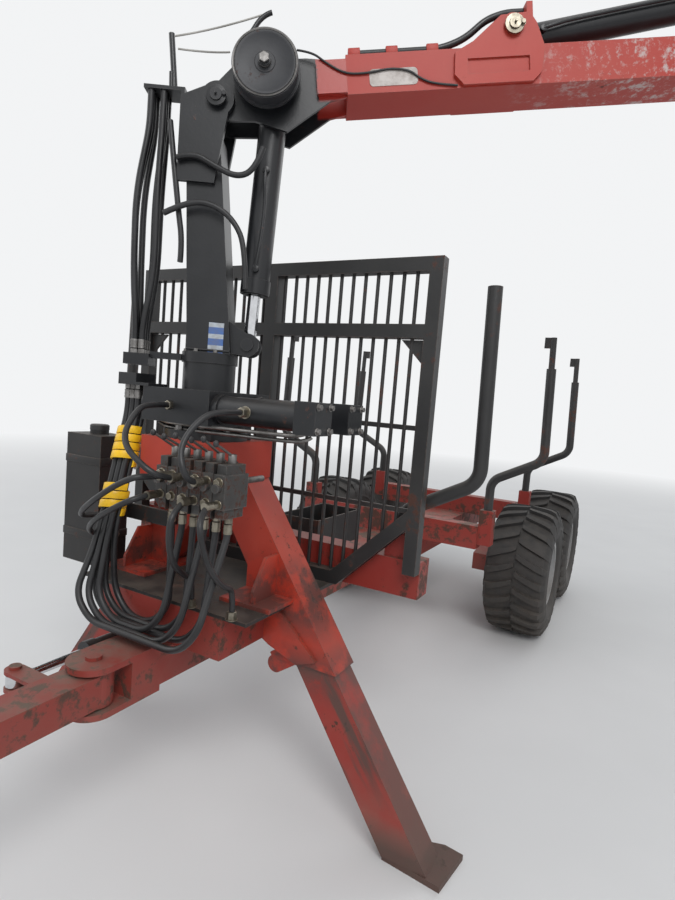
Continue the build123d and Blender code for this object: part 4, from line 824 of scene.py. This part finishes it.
# Hoses and wraps
def make_wraps():
    """The yellow spiral guards round the bundle of hoses: a flat band wound with a small gap."""
    run = DROP_FOOT - DROP_HEAD
    place = GROUND @ Matrix.Translation(DROP_HEAD) @ run.to_track_quat("Z", "Y").to_matrix().to_4x4()
    inner, rounded, half = WRAP_R - WRAP_WALL, WRAP_R - WRAP_ROUNDING, WRAP_BAND / 2
    section = ((inner, -half), (rounded, -half), (WRAP_R, WRAP_EDGE - half), (WRAP_R, half - WRAP_EDGE),
               (rounded, half), (inner, half))
    pieces = []
    for share_start, share_end in WRAP_SPANS:
        start, length = run.length * share_start, run.length * (share_end - share_start)
        band = outline([(radius, 0, start + half + up) for radius, up in section], True)
        pick(band)
        wound = band.modifiers.new("wound", "SCREW")
        wound.screw_offset = WRAP_PITCH
        wound.iterations = int((length - WRAP_BAND) / WRAP_PITCH)
        wound.steps = WRAP_STEPS
        wound.render_steps = WRAP_STEPS
        wound.use_merge_vertices = False
        bpy.ops.object.modifier_apply(modifier="wound")
        bpy.ops.object.mode_set(mode="EDIT")
        bpy.ops.mesh.select_mode(type="EDGE")
        bpy.ops.mesh.select_all(action="DESELECT")
        bpy.ops.mesh.select_non_manifold()
        bpy.ops.mesh.edge_face_add()
        turn_outwards(band)
        pieces.append(band)
    whole = joined(pieces)
    smooth(whole, 30)
    settle(whole, place, "spiral_wraps", "trailer", "wrap")
    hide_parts("hose_wraps")


def section_x(k):
    """The middle of one of the valve bank's sections."""
    return VALVE[0] + (k + 0.5) * SECTION_WIDTH


def ferrule():
    """A crimped hose end: a swaged sleeve under a hexagon nut, standing up from the origin."""
    sleeve = turned([(0.0, 0.0), (0.0, 0.0135), (0.006, 0.0142), (0.010, 0.0130), (0.016, 0.0142),
                     (0.022, 0.0130), (0.030, 0.0138), (0.033, 0.010), (0.033, 0.0)], 20, "Z")
    nut = hex_bolt(0.026, 0.015, False)
    nut.data.transform(at(0, 0, 0.032))
    return joined([sleeve, nut])


def make_fittings():
    """The crimped hose ends under the valves, in the block under the slewing ring and on the column."""
    below = [at(section_x(k % 3 * 2 + k // 3), VALVE_MIDDLE, VALVE[4] - 0.052) for k in SECTIONS]
    settle(copies(ferrule(), below), GROUND, "valve_hose_ends", "trailer", "fitting")
    above = [at(DROP_HEAD.x + across, DROP_HEAD.y + row, BLOCK_TOP) for across, row in BUNDLE]
    settle(copies(ferrule(), above), GROUND, "block_hose_ends", "trailer", "steel")
    x, z = COLUMN_BLOCK
    hanging = [at(x + row, across, z) @ MIRROR_Z @ at(0, 0, -0.045) for across, row in BUNDLE]
    low = copies(ferrule(), hanging)
    turn_outwards(low)
    settle(low, CRANE, "column_hose_ends", "column", "steel")


def make_crane_lines():
    """The lines on the column and the boom: three hoses, two pale cords to the winch and the side wire."""
    routes = (
        (-0.110, ((-0.128, 2.243), (-0.073, 2.264), (-0.004, 2.229), (0.074, 2.197), (0.132, 2.228),
                  (0.154, 2.301))),
        (-0.110, ((-0.161, 2.063), (-0.080, 2.109), (0.003, 2.106), (0.073, 2.060), (0.116, 1.979),
                  (0.125, 1.840))),
        (-0.088, ((-0.161, 2.368), (-0.119, 2.083), (-0.100, 1.986), (-0.103, 1.914))),
    )
    for k, (y, route) in enumerate(routes):
        settle(tube([(x, y, z) for x, z in route], HOSE_R), CRANE, f"column_line_{k}", "column", "hose")
    cords = (
        ((-0.116, 0.182), (0.014, 0.193), (0.169, 0.231)),
        ((-0.109, 0.143), (-0.008, 0.124), (0.057, 0.124)),
    )
    strung = joined([tube([(s, CORD_Y, t) for s, t in cord], 0.003) for cord in cords])
    settle(strung, BOOM, "winch_cords", None, "twine")
    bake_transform(strung)
    wire = ((0.272, 0.133), (0.321, 0.124), (0.361, 0.091), (0.425, 0.050), (0.501, 0.049), (0.574, 0.061),
            (0.639, 0.051), (0.671, 0.024), (0.720, 0.003), (0.795, -0.005))
    shown_wire = tube([(s, BOOM_SIDE - 0.005, t) for s, t in wire], 0.0035)
    settle(shown_wire, BOOM, "boom_wire", "boom", "hose")


# Crane
def pin_head(place, name, body, radius, finish):
    """A pin's flanged head with its keeper bolt and grease nipple, along +Z of its place."""
    rim = radius * 1.55
    disc = turned([(0, 0), (0, rim), (0.004, radius * 1.62), (0.009, rim), (0.010, radius * 0.98),
                   (0.016, radius * 0.92), (0.016, 0)], 32, "Z")
    nipple = bar((0, 0, 0.014), (0, 0, 0.026), 0.004, 10, 0.001, 1)
    bolt = hex_bolt(0.016, 0.008)
    bolt.data.transform(at(radius * 1.28, 0, 0.0085))
    settle(joined([disc, nipple, bolt]), place, name, body, finish)


def make_crane_pins():
    """The heads of three pins through the boom, on both of its sides."""
    pins = (
        ("lift_pivot_pin", "column", Vector((0, 0, 0)), 0.107, 0.021, "slate"),
        ("ram_pin", "boom", RAM_PIN, 0.110, 0.020, "fitting"),
        ("elbow_pin", "boom", ELBOW_PIN, 0.104, 0.022, "bracket"),
    )
    for name, body, middle, half, radius, finish in pins:
        for side, sign in (("near", -1), ("far", 1)):
            face = BOOM @ at(middle.x, sign * half, middle.z) @ about("X", -sign * pi / 2)
            pin_head(face, f"{name}_{side}", body, radius, finish)


def make_winch():
    """The winch's grooved disc, the cord round its rim, its hub and its band lever."""
    face = BOOM @ Matrix.Translation(WINCH) @ LAY_ALONG_Y
    disc = turned([(0.0, 0.097), (0.0025, 0.097), (0.004, 0.0955), (0.004, 0.088), (0.0028, 0.086),
                   (0.0028, 0.034), (0.006, 0.031), (0.006, 0.0), (0.0, 0.0)], 64, "Z")
    settle(disc, face, "winch_disc", "boom", "winch")
    ring = turned([(0.0005, 0.1005), (0.0035, 0.1035), (0.0065, 0.1005), (0.0035, 0.0975), (0.0005, 0.1005)],
                  64, "Z", 60)
    settle(ring, face, "winch_rim_cord", "boom", "steel")
    hub = joined([bar((0, 0, 0), (0, 0, 0.016), 0.021, 24, 0.002), hex_bolt(0.034, 0.030, False)])
    settle(hub, face, "winch_hub", "boom", "steel")
    route = ((0.090, 0.134), (0.125, 0.173), (0.169, 0.231), (0.201, 0.238))
    settle(tube([(s, -0.118, t) for s, t in route], 0.008), BOOM, "winch_band_lever", "boom", "slate")


def make_boom_details():
    """The boom's blank plate with its rounded corners, the column's blank sticker and the hose's clamps."""
    plate = block(0.505, 0.665, BOOM_SIDE - 0.0018, BOOM_SIDE + 0.0004, 0.008, 0.062, 0)
    bevel = plate.modifiers.new("corners", "BEVEL")
    bevel.affect = "EDGES"
    bevel.width = 0.013
    bevel.segments = 5
    bevel.limit_method = "WEIGHT"
    weights = plate.data.attributes.new("bevel_weight_edge", "FLOAT", "EDGE")
    for edge in plate.data.edges:
        a, b = (plate.data.vertices[k].co for k in edge.vertices)
        weights.data[edge.index].value = 1.0 if abs(a.y - b.y) > 0.001 else 0.0
    pick(plate)
    bpy.ops.object.modifier_apply(modifier="corners")
    settle(plate, BOOM, "boom_blank_plate", "boom", "plate")
    sticker = block(0.004, 0.056, -0.0768, -0.0748, 1.618, 1.724, 0.0004, 1)
    settle(sticker, CRANE, "column_blank_sticker", "column", "sticker")
    clamp = block(-0.02, 0.02, -0.016, 0.016, 0, 0.026, 0.003)
    clamps = copies(clamp, [at(s, -0.068, 0.112) for s in (0.46, 0.585, 0.72)])
    settle(clamps, BOOM, "boom_hose_clamps", "boom", "bracket")


def make_cylinder_rings():
    """The gland rings, ports and pipes of the lift and jib cylinders."""
    rams = (
        (LIFT_RAM, "lift", 0.19, 0.6, 0.0475),
        (JIB_RAM, "jib", 0.12, 0.9, 0.045),
    )
    for place, name, first, end, radius in rams:
        body = f"{name}_barrel"
        raised, last, side = radius + 0.0045, end - 0.08, -radius - 0.012
        ring = turned([(end - 0.052, radius - 0.001), (end - 0.050, raised), (end - 0.006, raised),
                       (end - 0.002, radius + 0.001), (end + 0.003, radius - 0.004),
                       (end + 0.003, radius * 0.6)], 40)
        settle(ring, place, f"{name}_gland", body, "slate")
        ports = [bar((x, -radius + 0.004, 0), (x, -radius - 0.016, 0), 0.012, 12) for x in (first, last)]
        settle(joined(ports), place, f"{name}_ports", body, "slate")
        route = [(first, side, 0), (first + 0.03, side - 0.007, 0), (first + 0.1, side, 0.01),
                 (end - 0.2, side, 0.01), (end - 0.12, side - 0.002, 0.004), (last, side, 0)]
        settle(tube(route, 0.006), place, f"{name}_pipe", body, "slate")


def make_column_details():
    """The bolts of the slewing flange and the column's collar, and the weld at its foot."""
    flange = [about("Z", radians(18 + 36 * k)) @ at(0.135, 0, 1.35) for k in range(10)]
    settle(copies(hex_bolt(0.024, 0.014), flange), STAND, "slew_flange_bolts", "trailer", "steel")
    collar = [about("Z", radians(22 + 45 * k)) @ at(0.0875, 0, 1.621) for k in range(8)]
    settle(copies(hex_bolt(0.014, 0.008), collar), CRANE, "collar_bolts", "column", "steel")
    weld = tube([(-0.07, -0.077, 1.63), (0.0, -0.078, 1.628), (0.078, -0.077, 1.63)], 0.004)
    settle(weld, CRANE, "column_foot_weld", "column", "slate")


# Stand, valves and tank
def make_slew_pipes():
    """Two steel pipes under the front rack cylinder, and the bolts of the racks' end plates."""
    y = CRANE_Y - RACK_Y
    for k, (drop, back) in enumerate(((0.012, 0.020), (0.030, 0.006))):
        z = RACK_Z - RACK_R - drop
        front = y - back - 0.014
        route = [(-0.12, y - back, z + 0.02), (-0.10, y - back - 0.012, z), (0.02, front, z - 0.004),
                 (0.25, front, z - 0.001), (0.42, front, z), (0.50, y - back - 0.010, z + 0.004),
                 (0.515, y - back, z + 0.02)]
        settle(tube(route, 0.0065), GROUND, f"slew_pipe_{k}", "trailer", "steel")
    both = (-RACK_BOLT, RACK_BOLT)
    places = [at(RACK_END, CRANE_Y + side + dy, RACK_Z + dz) @ LAY_ALONG_X
              for side in (-RACK_Y, RACK_Y) for dy in both for dz in both]
    settle(copies(hex_bolt(0.018, 0.01), places), GROUND, "rack_end_bolts", "trailer", "steel")


def make_valves():
    """The joints between the valve bank's sections, and each section's spool cap, lever and plugs."""
    _, _, y0, y1, z0, z1 = VALVE
    seams = [VALVE[0] + SECTION_WIDTH * (k + 1) for k in SECTIONS[:-1]]
    joints = [block(x - 0.0015, x + 0.0015, y0 - 0.002, y1 + 0.002, z0 - 0.002, z1 + 0.002, 0.0005, 1)
              for x in seams]
    settle(joined(joints), GROUND, "valve_joints", "trailer", "black")
    caps = [bar((section_x(k), VALVE_MIDDLE, z1 - 0.002), (section_x(k), VALVE_MIDDLE, z1 + 0.030), 0.013, 16)
            for k in SECTIONS]
    settle(joined(caps), GROUND, "valve_spool_caps", "trailer", "steel")
    levers, knobs = [], []
    for k in SECTIONS:
        x = section_x(k)
        tip = (x + 0.006 * (k - 2.5), y0 - 0.030 - 0.006 * (k % 3), z1 + 0.074 - 0.008 * (k % 2))
        levers.append(bar((x, VALVE_MIDDLE, z1 + 0.024), tip, 0.0042, 10, 0.001, 1))
        deselect()
        bpy.ops.mesh.primitive_uv_sphere_add(segments=16, ring_count=10, radius=0.0085, location=tip)
        knob = bpy.context.object
        knob.scale = (1, 1, 1.25)
        bake_place(knob)
        smooth(knob, 60)
        knobs.append(knob)
    settle(joined(levers), GROUND, "valve_levers", "trailer", "steel")
    settle(joined(knobs), GROUND, "valve_knobs", "trailer", "knob")
    places = [at(section_x(k), y0, z) @ LAY_ALONG_Y for k in SECTIONS for z in (PORT_LOW, PORT_HIGH)]
    settle(copies(hex_bolt(0.024, 0.012), places), GROUND, "valve_plugs", "trailer", "fitting")


def make_valve_hoses():
    """Short hoses from the valves' front ports: two to the tank, two to a rack cylinder, two to the deck."""
    front = VALVE[2] - 0.012
    tank_ports = [(TANK[1], -3.05, 0.90), (TANK[1], -3.03, 0.99)]
    rack_x = (-0.02, 0.29)
    deck_x = (0.15, 0.32)
    deck_y = -3.19
    to_rack = [((x, -3.24, 1.433), (x, -3.15, RACK_Z)) for x in rack_x]
    to_deck = [((x, deck_y, 0.88), (x, deck_y, DECK_TOP + 0.02)) for x in deck_x]
    runs = (
        (PORT_LOW, ((0.0, -0.05, 0.0), (-0.03, -0.11, -0.02)),
         ((-0.16, -3.36, 1.03), (-0.33, -3.20, 0.93), tank_ports[0])),
        (PORT_HIGH, ((0.0, -0.06, 0.0), (-0.03, -0.14, 0.0)),
         ((-0.13, -3.41, 1.09), (-0.34, -3.24, 1.00), tank_ports[1])),
        (PORT_HIGH, ((0.0, -0.05, 0.0), (-0.01, -0.12, 0.02)),
         ((0.02, -3.40, 1.32), (0.0, -3.32, 1.42), *to_rack[0])),
        (PORT_LOW, ((0.0, -0.05, -0.01), (0.01, -0.10, -0.05)),
         ((0.20, -3.35, 0.98), (0.17, -3.25, 0.90), *to_deck[0])),
        (PORT_HIGH, ((0.0, -0.05, 0.0), (0.02, -0.11, 0.03)),
         ((0.24, -3.38, 1.33), (0.27, -3.32, 1.42), *to_rack[1])),
        (PORT_LOW, ((0.0, -0.05, -0.01), (0.03, -0.10, -0.05)),
         ((0.34, -3.34, 0.98), (0.33, -3.25, 0.90), *to_deck[1])),
    )
    places = []
    for k, (z, steps, points) in enumerate(runs):
        start = Vector((section_x(k), front, z))
        places.append(Matrix.Translation(start) @ LAY_ALONG_Y @ MIRROR_Z @ at(0, 0, -FERRULE_LENGTH))
        route = [start + Vector(step) for step in ((0, -0.03, 0), *steps)]
        route += [Vector(point) for point in points]
        settle(tube(route, HOSE_R), GROUND, f"valve_hose_{k}", "trailer", "hose")
    ends = copies(ferrule(), places)
    turn_outwards(ends)
    settle(ends, GROUND, "valve_front_ends", "trailer", "fitting")
    ports = [at(x, deck_y, DECK_TOP) for x in deck_x]
    ports += [at(*port) @ LAY_ALONG_X for port in tank_ports]
    ports += [at(x, CRANE_Y - RACK_Y - RACK_R + 0.001, RACK_Z) @ LAY_ALONG_Y for x in rack_x]
    settle(copies(hex_bolt(0.032, 0.024), ports), GROUND, "hose_ports", "trailer", "fitting")


def make_tank():
    """The oil tank's cap and its two straps."""
    x0, x1, y0, y1, _, top = TANK
    cap = turned([(top - 0.003, 0.0), (top - 0.003, 0.030), (top + 0.012, 0.030), (top + 0.016, 0.036),
                  (top + 0.034, 0.036), (top + 0.038, 0.031), (top + 0.038, 0.0)], 28, "Z")
    settle(cap, GROUND @ at((x0 + x1) / 2, (y0 + y1) / 2, 0), "tank_cap", "trailer", "knob")
    straps = [block(x0 - 0.003, x1 + 0.003, y0 - 0.003, y1 + 0.003, z, z + 0.03) for z in (0.88, 1.17)]
    settle(joined(straps), GROUND, "tank_straps", "trailer", "black")


def make_leg_pins():
    """The pins in the ears of the leg sleeves."""
    for side, sign in SIDES:
        x = sign * EAR_X
        shaft = bar((x, -3.1, EAR_Z), (x, -2.96, EAR_Z), 0.011, 16)
        head = bar((x, -3.105, EAR_Z), (x, -3.098, EAR_Z), 0.02, 20)
        settle(joined([shaft, head]), GROUND, f"leg_pin_{side}", "trailer", "steel")


# Stage and light. A lamp has a name, a place, a size and a power.
FLOOR_SIZE = 160
FADE = (3.5, 14.0)
LAMP_AIM = Vector((0.3, 2.2, 0.8))
LAMPS = (
    ("key", (4.5, -3.5, 6.5), 3.5, 330),
    ("fill", (-6, -1, 4.5), 5.0, 90),
    ("back", (2, 10, 6), 5.0, 120),
)


def make_stage():
    """A pale floor that fades into the backdrop far from the trailer."""
    deselect()
    bpy.ops.mesh.primitive_plane_add(size=FLOOR_SIZE, location=(0, 3, FLOOR_Z))
    floor = bpy.context.object
    floor.name = "floor"
    material, tree, shader = new_material("pale floor")
    grain = patches(tree, 0.2, 0.8, 1.5, 3, 0.5)
    shade = layer(tree, grain, (0.72, 0.72, 0.715, 1), (0.76, 0.76, 0.755, 1))
    tree.links.new(shade, shader["Base Color"])
    shader["Roughness"].default_value = 0.9
    inputs = {"Vector": own_place(tree), "Location": (-1.0, -2.5, -FLOOR_Z)}
    centred = {0: node(tree, "ShaderNodeMapping", inputs).outputs[0]}
    away = node(tree, "ShaderNodeVectorMath", centred, operation="LENGTH").outputs["Value"]
    seen = node(tree, "ShaderNodeLightPath").outputs["Is Camera Ray"]
    far = times(tree, spread(tree, away, *FADE), seen)
    glow = node(tree, "ShaderNodeEmission", {"Color": BACKDROP, "Strength": BACKDROP_STRENGTH}).outputs[0]
    mixed = {0: far, 1: tree.nodes["Principled BSDF"].outputs[0], 2: glow}
    surface = node(tree, "ShaderNodeMixShader", mixed).outputs[0]
    tree.links.new(surface, tree.nodes["Material Output"].inputs["Surface"])
    floor.data.materials.append(material)


def make_light():
    """A soft world that is plain white to the camera and in reflections, and three lamps."""
    world = bpy.context.scene.world or bpy.data.worlds.new("studio")
    bpy.context.scene.world = world
    world.use_nodes = True
    tree = world.node_tree
    tree.nodes.clear()
    seen = node(tree, "ShaderNodeLightPath").outputs
    through = maths(tree, "MAXIMUM", seen["Is Glossy Ray"], seen["Is Transmission Ray"])
    plain = maths(tree, "MAXIMUM", seen["Is Camera Ray"], through)
    soft = node(tree, "ShaderNodeBackground", {"Color": (0.93, 0.96, 1.0, 1), "Strength": 0.55}).outputs[0]
    white = node(tree, "ShaderNodeBackground", {"Color": BACKDROP, "Strength": BACKDROP_STRENGTH}).outputs[0]
    mix = node(tree, "ShaderNodeMixShader", {0: plain, 1: soft, 2: white}).outputs[0]
    node(tree, "ShaderNodeOutputWorld", {"Surface": mix})
    for name, place, size, power in LAMPS:
        deselect()
        bpy.ops.object.light_add(type="AREA", location=place)
        lamp = bpy.context.object
        lamp.name = name
        lamp.data.size = size
        lamp.data.energy = power
        lamp.rotation_euler = (LAMP_AIM - Vector(place)).to_track_quat("-Z", "Y").to_euler()
    bpy.context.scene.view_settings.view_transform = "Standard"


set_camera()
dress_nodes()
for end, end_sign in ENDS:
    for side, sign in SIDES:
        make_wheel(end, end_sign, side, sign)
make_wraps()
make_fittings()
make_crane_lines()
make_crane_pins()
make_winch()
make_boom_details()
make_cylinder_rings()
make_column_details()
make_slew_pipes()
make_valves()
make_valve_hoses()
make_tank()
make_leg_pins()
make_stage()
make_light()
